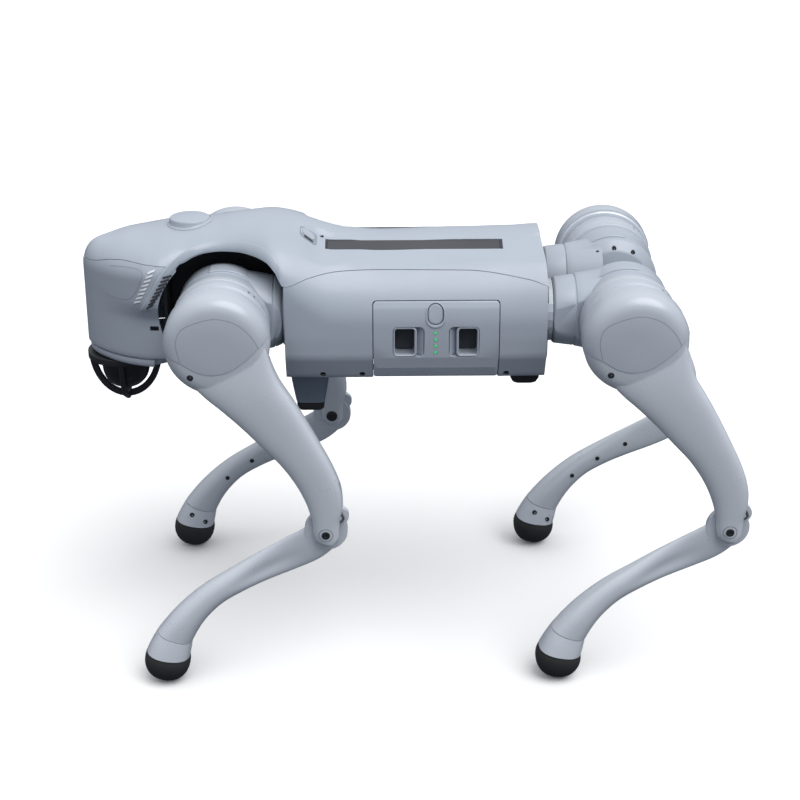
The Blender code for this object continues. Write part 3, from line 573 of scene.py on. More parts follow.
def flank_line(x, inset, low_z):
    """Outline of the left side at station x, as (y, z) from the height low_z over to the spine."""
    width = max(along(FLANK, x) - inset, 0.0006)
    top = along(SPINE, spine_x(x)) - inset
    edge = min(along(EDGE, x), top - 0.004)
    line = [(width, min(low_z, edge) - 0.001)]
    for angle in between(0.0, math.pi / 2, 91):
        y, z = width * math.cos(angle), edge + (top - edge) * math.sin(angle)
        line.append((y, min(z, rail_seat(x, y) - inset)))
    return clip(line, low_z, True)


def rail_seat(x, y):
    """Highest that the shoulder may be: a flat seat beside each rail, which runs out towards the neck."""
    run_out = max(0.0, x - 0.087) / 0.030
    middle_rise = max(0.0, RAIL_Y - 0.011 - y)
    return RAIL_Z + 0.0008 - math.tan(RAIL_TILT) * (y - RAIL_Y) + 0.015 * run_out ** 2 + middle_rise


def on_hull(x, inset, line):
    """Places a flank line in space: sections through the nose fan out from the spine."""
    width = max(along(FLANK, x) - inset, 0.0006)
    outer, middle = outline_x(x, inset), spine_x(x)
    return [(outer + (middle - outer) * (1 - min(1.0, y / width)), y, z) for y, z in line]


def crown(x, inset, low_z, count):
    """Left half of the top skin at station x, from the height low_z up to the spine."""
    points = on_hull(x, inset, resample(flank_line(x, inset, low_z), count))
    points[-1] = (points[-1][0], 0.0, points[-1][2])
    return points


def mirrored(points):
    return [(x, -y, z) for x, y, z in points]


def across(left):
    """A whole section, left to right, from its left half."""
    return left + mirrored(left[:-1])[::-1]


def top_cover():
    rings = []
    for x in between(REAR_X, 0.130, 44) + between(0.1325, 0.3332, 74):
        low = along(SEAM, x) + GAP
        rings.append(across(crown(x, 0.0, low, 24)) + across(crown(x, SHELL, low, 24))[::-1])
    rings[-1] = [(x, 0.0, z) for x, y, z in rings[-1]]
    cover = add("cover_top", loft(rings, folded=True), "shell_grey", "trunk", "top_cover")
    return cut(cover, *[rail_bar(side, RAIL_REAR, RAIL_FRONT, GAP, -RAIL_THICK - GAP, 0.02)
                        for side in (1, -1)])


def rail_bar(side, first, last, grow, low, high):
    """A straight bar along the shoulder, between two depths measured square to the rail's face."""
    c, s = math.cos(RAIL_TILT), math.sin(RAIL_TILT)
    half = RAIL_WIDE / 2 + grow
    section = []
    for out, up in ((-half, low), (half, low), (half, high), (-half, high)):
        section.append((side * (RAIL_Y + out * c + up * s), RAIL_Z - out * s + up * c))
    return prism(section, "X", first - grow, last + grow)


def port(cover):
    """Covered socket with its screw on the left shoulder, ahead of the rail."""
    skin = Skin(cover, "Z", 1)
    # the frame round the lid is painted shade standing for the socket's recess
    for name, low, high, radius, material, proud in (
            ("port_frame", (0.1030, 0.0200), (0.1190, 0.0370), 0.0035, "pocket_grey", 0.0003),
            ("port_lid", (0.1055, 0.0225), (0.1165, 0.0320), 0.0030, "shell_grey", 0.0009),
            ("port_gap", (0.1065, 0.0330), (0.1150, 0.0355), 0.0010, "seam_dark", 0.0006)):
        plate(name, skin, rounded_box(low, high, radius), material, "trunk", proud)
    bolt("port_screw", skin.spot(0.0985, 0.0190), "Z", 1, 0.0019, "trunk", 0.0006)


def rails():
    """Accessory rails let into the shoulders, each with a dark cap at both ends."""
    for side, name in SIDES:
        add(f"rail_bar_{name}", rail_bar(side, RAIL_REAR, RAIL_FRONT, 0.0, -RAIL_THICK, 0.0), "dark_rail",
            "trunk", f"rail_{name}")
        for number, (first, last) in enumerate(((-0.0752, -0.0725), (0.0920, 0.0942))):
            add(f"rail_cap_{name}_{number}", rail_bar(side, first, last, -0.0006, -0.0008, 0.0004),
                "seam_dark", "trunk")


def side_section(x, inset):
    """Left side at station x as (y, z), from under the belly up to the seam with the top cover."""
    width = along(FLANK, x) - inset
    low = BELLY_Z + inset * 0.9
    corners = [(width - 0.042, low), (width - 0.0165, low), (width - 0.0135, low + 0.002),
               (width - 0.0012, -0.0352 + inset * 0.3), (width, -0.0156)]
    line = []
    for a, b, count in zip(corners, corners[1:], (4, 3, 6, 4)):
        line += [tuple(p + (q - p) * t for p, q in zip(a, b)) for t in between(0.0, 1.0, count + 1)[:-1]]
    return line + resample(clip(flank_line(x, inset, -0.0156), along(SEAM, x), False), 18)


def side_covers():
    """Lower covers with their screws; the left one is open for the battery, with dark blocks of painted
    shade at both ends.
    """
    for side, name in SIDES:
        rings = []
        for x in between(REAR_X + 0.0015, 0.1335, 44):
            skins = [[(x, side * y, z) for y, z in side_section(x, inset)] for inset in (0.0, SHELL)]
            rings.append(skins[0] + skins[1][::-1])
        cover = add(f"cover_side_{name}", loft(rings), "shell_grey", "trunk", f"side_cover_{name}")
        recess = ((side * 0.0660, 0.0030), (side * 0.1000, 0.0030))
        cuts = [turned(recess, (x, BELLY_Z + SCREW_UP), "Y", 32) for x in SCREW_X]
        if side > 0:
            cuts.append(prism(rounded_box(BAY_LOW, BAY_HIGH, 0.0035), "Y", 0.050, 0.120))
        cut(cover, *cuts)
        if side > 0:
            # dark blocks close the slits beside the battery; their colour is painted shade
            for number, (first, last) in enumerate(((-0.0738, -0.0706), (0.0494, 0.0526))):
                gap_shade_block = box((first, 0.0500, -0.0590), (last, 0.0700, 0.0190))
                add(f"bay_liner_{number}", gap_shade_block, "seam_dark", "trunk")
        for number, x in enumerate(SCREW_X):
            bolt(f"side_screw_{name}_{number}", (x, side * 0.0665, BELLY_Z + SCREW_UP), "Y", side, 0.0024,
                 "trunk", 0.001)


# ---------------------------------------------------------------- battery
def battery():
    """Battery pack: a creased face that follows the side, finger pockets, button well and charge lamps."""
    profile = [(0.0690, 0.0211), (0.0790, 0.0211), (0.0801, 0.0203)]
    profile += curved(((0.0812, 0.0180), (0.0832, 0.0130), (0.0852, 0.0010), (0.0855, -0.0156)), 6)
    profile += [(0.0845, -0.0352), (0.0727, -0.0574), (0.0705, -0.0592), (0.0690, -0.0592)]
    pack = add("battery_case", prism(profile, "X", FACE_LOW[0], FACE_HIGH[0]), "shell_grey", "battery",
               "battery_pack")
    face = prism(rounded_box(FACE_LOW, FACE_HIGH, 0.0034), "Y", 0.050, 0.120)
    steps = [("INTERSECT", face), ("UNION", box((-0.0670, -0.0380, -0.0475), (0.0460, 0.0780, 0.0175)))]
    holes = []
    for low, high in POCKETS:
        rings = []
        for y, inset in ((0.0775, 0.0012), (0.0790, 0.0005), (0.0846, 0.0003), (0.0857, 0.0), (0.110, 0.0)):
            outline = rounded_box((low + inset, POCKET_LOW + inset), (high - inset, POCKET_HIGH - inset),
                                  0.0048)
            rings.append([(x, y, z) for x, z in outline])
        steps.append(("DIFFERENCE", loft(rings)))
        front = low > BUTTON[0]
        rear_end, front_end = (low + 0.0074, high) if front else (low, high - 0.0074)
        outer = rounded_box((rear_end if front else rear_end + 0.0006, POCKET_LOW + 0.0006),
                            (front_end - 0.0006 if front else front_end, POCKET_HIGH - 0.0006), 0.0040)
        inner = rounded_box((rear_end + 0.0022, POCKET_LOW + 0.0024),
                            (front_end - 0.0022, POCKET_HIGH - 0.0024), 0.0026)
        steps.append(("DIFFERENCE", prism(inner, "Y", 0.0655, 0.110)))
        ramp_ends = (rear_end, rear_end - 0.0066) if front else (front_end, front_end + 0.0066)
        holes.append((outer, inner, (rear_end + front_end) / 2, ramp_ends))
    steps.append(("DIFFERENCE", prism(pill(-0.0006), "Y", 0.0750, 0.120)))
    shape(pack, *steps)
    skin = Skin(pack)
    for number, (outer, inner, middle, (root, tip)) in enumerate(holes):
        pocket_rim(f"pocket_ring_{number}", outer, inner, 0.0770, 0.0850)
        # a dark sheet at the back of each hole: painted shade of the hole's depth
        hole_shade_outline = [(x + (-0.0004 if x > middle else 0.0004), z) for x, z in inner]
        add(f"pocket_lining_{number}", prism(hole_shade_outline, "Y", 0.0648, 0.0690), "seam_dark", "battery")
        ramp = [(root, 0.0768), (root, 0.0782), (tip, 0.0838), (tip, 0.0768)]
        add(f"pocket_ramp_{number}", prism(ramp, "Z", POCKET_LOW + 0.0014, POCKET_HIGH - 0.0014),
            "shell_grey", "battery")
    scoop = [(x, z - 0.0012) for x, z in pill(-0.0026)]
    button_rim(skin, scoop, pill(-0.0007), 0.0006)
    for number, z in enumerate((-0.0089, -0.0156, -0.0223, -0.0289)):
        disc(f"charge_lamp_{number}", skin, (-0.0101, z), 0.0015, "lamp_green", "battery", 0.0003)
        # a thin ring of painted shade round each lamp
        ring_mark(f"charge_rim_{number}", skin, (-0.0101, z), 0.0018, 0.0004, "pocket_grey", "battery")


def pocket_rim(name, outer, inner, low, high):
    """Wall of even height between two outlines seen from the side, rounded over at its front."""
    rings = []
    for t, y in ((0.0, low), (0.0, high - 0.0005), (0.3, high), (0.7, high), (1.0, high - 0.0005),
                 (1.0, low)):
        rings.append([(a + (c - a) * t, y, b + (d - b) * t) for (a, b), (c, d) in zip(outer, inner)])
    add(name, hoop(rings), "shell_grey", "battery")


def pill(inset):
    """Upright pill seen from the side, round the power button's middle."""
    wide, tall = 0.0070 - inset, 0.0098 - inset
    x, z = BUTTON
    return rounded_box((x - wide, z - tall), (x + wide, z + tall), wide - 0.0001, 10)


def button_rim(skin, outer, inner, proud):
    """Raised rim between two outlines laid on a skin, rounded off towards both."""
    rings = []
    for t, lift in ((0.0, -0.0008), (0.0, 0.0001), (0.25, proud), (0.75, proud), (1.0, 0.0001),
                    (1.0, -0.0008)):
        rings.append([(a[0] + (b[0] - a[0]) * t, skin.spot(*a)[1] + skin.side * lift,
                       a[1] + (b[1] - a[1]) * t) for a, b in zip(outer, inner)])
    add("button_rim", hoop(rings), "shell_grey", "battery")


def power_button():
    rings = [[(x, 0.0770, z) for x, z in pill(0.0)]]
    for sink, inset in ((0.0016, 0.0), (0.0010, 0.0002), (0.0007, 0.0008), (0.0006, 0.0016),
                        (0.0008, 0.0030), (0.0010, 0.0060)):
        rings.append([(x, side_y(z) - sink, z) for x, z in pill(inset)])
    add("button_cap", loft(rings), "shell_grey", "button", "power_button")


def side_y(z):
    """How far out the rounded side of the battery is at the height z."""
    return 0.0853 * math.sqrt(1 - (max(0.0, z + 0.003) / 0.069) ** 2)


# ---------------------------------------------------------------- head
def head_section(x, inset):
    """Left half of the face shell at station x, from the chin up to its seam with the top cover."""
    wide = max(along(FLANK, x) - inset, 0.0006)
    narrow = max(along(CHEEK, x) - inset, 0.0006)
    lower = [(narrow - 0.0006, CHIN_Z), (narrow, CHIN_Z + 0.0010), (narrow, -0.030), (narrow, -0.006),
             (narrow + (wide - narrow) * 0.45, 0.003), (wide - 0.0003, 0.012), (wide, 0.020)]
    upper = clip(flank_line(x, inset, 0.022), along(SEAM, x), False)
    low = [(outline_x(x, inset), y, z) for y, z in resample(curved(lower, 5), 22)]
    return low + on_hull(x, inset, resample(upper, 12))


def face_shell():
    rings = []
    for x in between(0.2362, 0.3220, 44) + between(0.3232, 0.3332, 12):
        rings.append(head_section(x, 0.0) + head_section(x, SHELL)[::-1])
    rings += [mirrored(ring) for ring in rings[::-1]]
    face = add("face_visor", loft(rings), "shell_grey", "trunk", "face_shell")
    cuts = [turned(((-0.10, 0.0618), (0.10, 0.0618)), (HIP_X, 0.0), "Y", 96)]
    for side in (1, -1):
        cuts.append(box((0.2555, side * 0.059 - 0.02, -0.0160), (0.2640, side * 0.059 + 0.02, -0.0108)))
    return cut(face, *cuts)


def chin_outline(inset):
    """Plan of the round mouth of the head: the nose curve in front, a near circle behind."""
    front = [(x, max(along(CHEEK, x) - inset, 0.0)) for x in between(0.262, 0.3315, 24)]
    front = [(outline_x(x, inset), y) for x, y in front]
    back = arc((0.285, 0.0), 0.0585 - inset, 113, 180, 14)
    left = back[::-1] + front + [(NOSE_X - 0.0012 - inset, 0.0)]
    return left + [(x, -y) for x, y in left[1:-1]][::-1]


def chin():
    levels = ((CHIN_Z - GAP, 0.0035), (-0.0464, 0.0035), (-0.0468, 0.0030), (-0.0470, 0.0018),
              (-0.0474, 0.0012), (-0.0500, 0.0010), (-0.0525, 0.0014), (-0.0538, 0.0024), (-0.0545, 0.0042))
    rings = [[(x, y, z) for x, y in chin_outline(inset)] for z, inset in levels]
    ring = add("chin_collar", loft(rings), "shell_grey", "trunk", "chin_ring")
    cut(ring, turned(((-0.060, 0.0160), (-0.040, 0.0160)), (LIDAR_X, 0.0), "Z", 48))


# Upper and lower edge of the raised band round each front arch, as X and Z.
RIDGE = ((0.1378, 0.0560), (0.1425, 0.0630), (0.1500, 0.0670), (0.1564, 0.0688), (0.1680, 0.0695),
         (0.1790, 0.0695), (0.1953, 0.0692), (0.2151, 0.0668), (0.2300, 0.0608), (0.2437, 0.0520),
         (0.2553, 0.0375), (0.2649, 0.0194), (0.2715, 0.0085))
LIP = ((0.1368, 0.0440), (0.1417, 0.0521), (0.1480, 0.0565), (0.1530, 0.0580), (0.1660, 0.0604),
       (0.1792, 0.0612), (0.1937, 0.0612), (0.2088, 0.0600), (0.2210, 0.0565), (0.2310, 0.0520),
       (0.2400, 0.0420), (0.2490, 0.0270), (0.2570, 0.0105))


def fender(skin, name):
    """Raised band round the arch over each front hip, with a row of slanted vents at its front."""
    ridge, lip = resample(curved(RIDGE, 6), 64), resample(curved(LIP, 6), 64)
    rings = []
    for a, b in zip(ridge, lip):
        rise = min(1.0, max(0.3, (a[0] - 0.205) / 0.02))
        row = []
        for t, lift in ((0.0, -0.0001), (0.03, 0.0016), (0.10, 0.0021), (0.5, 0.0015), (0.9, 0.0008),
                        (1.0, 0.0001)):
            hit = skin.point(*[p + (q - p) * t for p, q in zip(a, b)])
            if hit:
                row.append((hit, lift * rise))
        if len(row) < 4:
            continue
        while len(row) < 6:
            row.append(row[-1])
        top = [tuple(p + n * lift) for (p, n), lift in row]
        low = [tuple(p - n * 0.0005) for (p, n), _ in row]
        rings.append(top + low[::-1])
    add(f"fender_{name}", loft(rings), "shell_grey", "trunk")
    for number, t in enumerate(between(0.0, 1.0, 9)):
        x, z = 0.2440 + 0.0165 * t, 0.0420 - 0.0285 * t
        reach, slant = 0.0031 - 0.0006 * t, 0.0003 + 0.0016 * t
        outline = ((x + reach + 0.0014, z - slant - 0.0009), (x + reach + 0.0014, z - slant + 0.0009),
                   (x - reach, z + slant + 0.0009), (x - reach, z + slant - 0.0009))
        plate(f"vent_{name}_{number}", skin, outline, "seam_dark", "trunk", 0.0024, 0.0002)


def head_marks(face, side, name):
    """Slanted hash marks on the cheek, and a line of painted shade along the shallow panel edge in front of
    them.
    """
    skin = Skin(face, "Y", side)
    for number, t in enumerate(between(0.0, 1.0, 8)):
        x, z = 0.2585 + 0.0150 * t, 0.0470 - 0.0310 * t
        outline = ((x + 0.0029, z - 0.0003), (x + 0.0039, z - 0.0023), (x - 0.0029, z + 0.0003),
                   (x - 0.0039, z + 0.0023))
        plate(f"hash_{name}_{number}", skin, outline, "ink_white", "trunk", 0.0009)
    # the crease along the panel edge is not modelled: a dark line paints its shade
    corner = curved(((0.3010, 0.0455), (0.2850, 0.0478), (0.2720, 0.0480), (0.2672, 0.0450),
                     (0.2690, 0.0380), (0.2760, 0.0240), (0.2830, 0.0170), (0.2950, 0.0150),
                     (0.3080, 0.0160)), 8)
    ribbon(f"cheek_line_{name}", skin, corner, 0.0005, "pocket_grey", "trunk", 0.00008)


def puck():
    """Antenna housing: a level top on a filleted flange that follows the head."""
    x, top = 0.227, 0.0812
    levels = [(0.0, 0.0222), (0.0006, 0.0222), (0.0011, 0.0214), (0.0016, 0.0204), (0.0026, 0.0199)]
    levels += [(top - 0.0016, 0.01975), (top - 0.0008, 0.0194), (top - 0.0002, 0.0187), (top, 0.0178)]
    mesh = turned(levels, (x, 0.0), "Z", 72)
    for vertex in mesh.verts:
        if vertex.co.z < 0.01:
            width, edge, spine = (along(c, vertex.co.x) for c in (FLANK, EDGE, SPINE))
            share = min(1.0, abs(vertex.co.y) / width)
            vertex.co.z += edge + (spine - edge) * math.sqrt(1 - share ** 2)
    add("antenna_cap", mesh, "shell_grey", "trunk", "antenna_puck")


# ---------------------------------------------------------------- scanner
def scanner():
    levels = soft_profile(((-0.0552, 0.0180), (-0.0600, 0.0232), (-0.0760, 0.0238), (-0.0855, 0.0210),
                           (-0.0920, 0.0152), (-0.0955, 0.0080), (-0.0962, 0.0010)), 0.006, 6)
    add("scanner_dome", turned(levels, (LIDAR_X, 0.0), "Z", 72), "black_glass", "trunk", "lidar_core")
    band = ((-0.0595, 0.0236), (-0.0598, 0.0241), (-0.0615, 0.0243), (-0.0632, 0.0241), (-0.0635, 0.0236))
    add("scanner_band", turned(band, (LIDAR_X, 0.0), "Z", 64), "black_plastic", "trunk")


def cage():
    """Guard round the scanner: a ring, two crossed hoops and a nub under their crossing."""
    profile = soft_profile(((-0.0550, CAGE_R - 0.0020), (-0.0550, CAGE_R), (-0.0620, CAGE_R),
                            (-0.0620, CAGE_R - 0.0020)))
    ring = add("scanner_cage", turned(profile, (LIDAR_X, 0.0), "Z", 96), "black_plastic", "trunk",
               "lidar_cage")
    cut(ring, turned(((-0.0500, CAGE_R - 0.0085), (-0.0670, CAGE_R - 0.0085)), (LIDAR_X, 0.0), "Z", 96))
    joined = []
    for number, turn in enumerate((0, 90)):
        c, s = math.cos(math.radians(turn)), math.sin(math.radians(turn))
        rings = []
        section = [(0.0008, 0.0024), (0.0, 0.0016), (0.0, -0.0016), (0.0008, -0.0024), (0.0056, -0.0024),
                   (0.0064, -0.0016), (0.0064, 0.0016), (0.0056, 0.0024)]
        for p, q in arc((0.0, 0.0), 1.0, 180, 360, 56):
            row = []
            for inward, wide in section:
                r = (CAGE_R - 0.0005 - 0.0003 * number - inward) * p
                h = -0.0590 + (0.0485 - 0.0005 * number - inward) * q
                row.append((LIDAR_X + r * c - wide * s, r * s + wide * c, h))
            rings.append(row)
        joined.append(loft(rings))
    joined.append(turned(((-0.1035, 0.0030), (-0.1092, 0.0028), (-0.1100, 0.0020)), (LIDAR_X, 0.0), "Z", 20))
    shape(ring, *[("UNION", hoop_or_nub) for hoop_or_nub in joined])


def pads():
    """Belly pads that the robot lies on."""
    for name, node, x0, x1, wide, levels, material in (
            # the dark slate of this pedestal is painted shade on grey plastic
            ("pad_front", "belly_pad_front", 0.0920, 0.1320, 0.042,
             ((BELLY_Z - GAP, 0.0), (-0.0780, 0.002), (-0.0980, 0.0052), (-0.1018, 0.0062),
              (-0.1025, 0.0072)), "pad_slate"),
            ("pad_sole", "belly_sole_front", 0.0920, 0.1320, 0.042,
             ((-0.1025 - GAP, 0.0067), (-0.1036, 0.0062), (-0.1085, 0.0068), (-0.1104, 0.0082),
              (-0.1110, 0.0100)), "rubber_black"),
            ("pad_rear", "belly_pad_rear", -0.1160, -0.0840, 0.046,
             ((BELLY_Z - GAP, 0.0), (-0.0740, 0.002), (-0.0785, 0.0042), (-0.0800, 0.0062)),
             "rubber_black")):
        rings = []
        for z, inset in levels:
            outline = rounded_box((x0 + inset, -wide + inset), (x1 - inset, wide - inset), 0.0045, 6)
            rings.append([(x, y, z) for x, y in outline])
        add(name, loft(rings), material, "trunk", node)


# ---------------------------------------------------------------- legs
class Leg:
    """Frame of one leg: places points given along and across each limb, and names its pieces."""

    def __init__(self, x_side, y_side):
        self.x = x_side * HIP_X
        self.front = x_side
        self.side = y_side
        self.name = ("front" if x_side > 0 else "rear") + ("_left" if y_side > 0 else "_right")
        self.down = (-math.sin(LEAN), -math.cos(LEAN))
        self.ahead = (math.cos(LEAN), -math.sin(LEAN))
        self.knee = (self.x + LIMB * self.down[0], LIMB * self.down[1])
        swing = LEAN - FOLD
        self.shin = (-math.sin(swing), -math.cos(swing))
        self.over = (math.cos(swing), -math.sin(swing))

    def thigh_point(self, a, b):
        return (self.x + a * self.down[0] + b * self.ahead[0], a * self.down[1] + b * self.ahead[1])

    def shin_point(self, a, b):
        return (self.knee[0] + a * self.shin[0] + b * self.over[0],
                self.knee[1] + a * self.shin[1] + b * self.over[1])

    def turned(self, profile, centre, steps=72):
        """Solid of revolution across the body; profile is (distance out from the middle, radius)."""
        return turned([(self.side * d, r) for d, r in profile], centre, "Y", steps)

    def drum(self, low, high, radius, centre, steps=72):
        return self.turned(((low, radius), (high, radius)), centre, steps)

    def prism(self, outline, low, high):
        return prism(outline, "Y", self.side * low, self.side * high)

    def add(self, piece, mesh, material, limb, *nodes):
        """A piece of this leg: the leg's name follows each name given."""
        piece, limb, *nodes = (f"{name}_{self.name}" for name in (piece, limb, *nodes))
        return add(piece, mesh, material, limb, *nodes)


# THIGH rows: distance from the hip, shift across, half width, and how far out both faces are. SHIN and
# ANKLE rows: distance from the knee, shift across, half width, turn in degrees, and both faces.
THIGH = ((0.008, -0.0010, 0.0425, 0.1152, 0.1480), (0.024, -0.0012, 0.0385, 0.1156, 0.1505),
         (0.040, -0.0020, 0.0345, 0.1170, 0.1525), (0.058, -0.0048, 0.0303, 0.1200, 0.1538),
         (0.080, -0.0095, 0.0275, 0.1245, 0.1545), (0.105, -0.0135, 0.0245, 0.1275, 0.1548),
         (0.130, -0.0170, 0.0212, 0.1290, 0.1548), (0.155, -0.0182, 0.0195, 0.1292, 0.1545),
         (0.178, -0.0162, 0.0185, 0.1292, 0.1540), (0.196, -0.0105, 0.0168, 0.1292, 0.1535),
         (0.208, -0.0035, 0.0146, 0.1292, 0.1532), (0.2165, -0.0004, 0.0128, 0.1293, 0.1530),
         (0.2230, 0.0, 0.0092, 0.1297, 0.1525), (0.2260, 0.0, 0.0050, 0.1302, 0.1518))
# DOME: outline of the cup over the knee motor, as distance out from the middle and radius.
DOME = ((0.1192, DOME_R), (0.1350, DOME_R), (0.1415, 0.0474), (0.1462, 0.0440), (0.1492, 0.0395),
        (0.1508, 0.0330), (0.1520, 0.0200), (0.1523, 0.0060))
SHIN = ((-0.006, -0.0020, 0.0150, 0.0, 0.1353, 0.1426), (0.010, -0.0028, 0.0170, 2.0, 0.1353, 0.1427),
        (0.026, -0.0010, 0.0178, 6.0, 0.1352, 0.1428), (0.048, 0.0045, 0.0168, 12.0, 0.1345, 0.1432),
        (0.074, 0.0117, 0.0148, 16.0, 0.1330, 0.1465), (0.100, 0.0176, 0.0130, 12.0, 0.1312, 0.1510),
        (0.125, 0.0218, 0.0125, 1.0, 0.1295, 0.1538), (0.148, 0.0218, 0.0135, -12.0, 0.1275, 0.1560),
        (0.168, 0.0190, 0.0153, -22.0, 0.1258, 0.1580), (0.1872, 0.0139, 0.0176, -29.5, 0.1247, 0.1592))
ANKLE = ((0.1878, 0.0136, 0.0178, -30.0, 0.1246, 0.1593), (0.197, 0.0090, 0.0197, -35.0, 0.1226, 0.1614),
         (0.2060, 0.0042, 0.0212, -39.0, 0.1208, 0.1632))
# Lower edge of the cup's cap, as distance across and along the thigh, and the edge of the lens on the cap,
# as X and Z from the hip; that edge is drawn as a thin line of painted shade.
CAP_EDGE = ((-0.060, 0.012), (-0.036, 0.0167), (-0.0195, 0.0214), (-0.0025, 0.0236), (0.0132, 0.0199),
            (0.0262, 0.0096), (0.0343, -0.0035), (0.060, -0.030))
LENS = ((0.0321, -0.0126), (0.0357, 0.0060), (0.0305, 0.0196), (0.0166, 0.0272), (-0.0016, 0.0310),
        (-0.0194, 0.0260), (-0.0325, 0.0143), (-0.0394, 0.0016))


def hip_link(leg):
    """Housing that turns on the abduction motor and carries the thigh motor."""
    inner = soft_profile(((0.0240, 0.0340), (0.0252, 0.0362), (0.0330, HOUSING_R), (0.0600, HOUSING_R),
                          (0.0604, 0.0439), (0.0614, 0.0439), (0.0618, HOUSING_R), (0.0760, HOUSING_R),
                          (0.0768, 0.0435)), 0.0012)
    link = leg.add("hip_housing", leg.turned(inner, (leg.x, 0.0)), "shell_grey", "hip", "hip_link")
    near = 0.1360 if leg.front > 0 else 0.1230
    hub = soft_profile([(leg.front * d, r) for d, r in (
        (near, 0.0300), (near + 0.0018, 0.0322), (0.1430, 0.0345), (0.1434, 0.0338), (0.1444, 0.0340),
        (0.1448, 0.0350), (0.1500, 0.0362), (0.1800, 0.0412))])
    flat = leg.prism(rounded_box((leg.x - 0.08, -0.06), (leg.x + 0.08, 0.06), 0.01), 0.0770, 0.1200)
    shape(link, ("UNION", turned(hub, (leg.side * (HIP_Y + 0.0002), 0.0), "X")), ("DIFFERENCE", flat))
    collar_rings = []
    for angle in between(math.radians(104), math.radians(-66), 44):
        row = []
        for d, r in ((0.0408, 0.0443), (0.0410, 0.0456), (0.0418, 0.0462), (0.0585, 0.0462),
                     (0.0593, 0.0456), (0.0595, 0.0443)):
            row.append((leg.x + leg.front * -r * math.cos(angle), leg.side * d, r * math.sin(angle)))
        collar_rings.append(row)
    leg.add("hip_saddle", loft(collar_rings), "shell_grey", "hip")
    for number, angle in enumerate((62, 88, 118)):
        c, s = math.cos(math.radians(angle)), math.sin(math.radians(angle))
        spot = (leg.x - leg.front * 0.0376 * c, leg.side * 0.0268, 0.0376 * s)
        bolt(f"hip_bolt_{leg.name}_{number}", spot, "Y", -leg.side, 0.0022, f"hip_{leg.name}", 0.0018)


def thigh_motor(leg):
    """Ring-shaped motor with three slots in its rim."""
    levels = soft_profile(((0.0774, 0.0425), (0.0774, 0.0440), (0.0786, RING_R), (0.0868, RING_R),
                           (0.0872, 0.0460), (0.0880, 0.0460), (0.0884, RING_R), (0.1020, RING_R),
                           (0.1030, 0.0448), (0.1146, 0.0440), (0.1146, 0.0430)), 0.0006)
    ring = leg.add("motor_ring", leg.turned(levels, (leg.x, 0.0)), "motor_grey", "hip", "thigh_motor")
    cuts = []
    for angle in (128, 136, 152):
        c, s = math.cos(math.radians(angle)), math.sin(math.radians(angle))
        points = [(leg.x + 0.0455 * c + u * c - v * s, 0.0455 * s + u * s + v * c)
                  for u, v in ((-0.002, -0.0011), (0.004, -0.0011), (0.004, 0.0011), (-0.002, 0.0011))]
        cuts.append(leg.prism(points, 0.0930, 0.0990))
    cut(ring, *cuts)


def thigh_half(leg, face):
    """Half of the thigh from its parting plane outwards or inwards."""
    rings = []
    for a, b, half, inner, outer in curved(THIGH, 5):
        start = leg.side * (LEG_Y + GAP * 0.6 * (1 if face == "outer" else -1))
        tall = leg.side * (outer if face == "outer" else inner) - start
        ring = []
        for angle in between(0.0, math.pi, 25):
            reach = math.copysign(abs(math.cos(angle)) ** 0.85, math.cos(angle))
            p = leg.thigh_point(a, b + half * reach)
            ring.append((p[0], start + tall * max(math.sin(angle), 0.0) ** 0.55, p[1]))
        rings.append(ring)
    return loft(rings)


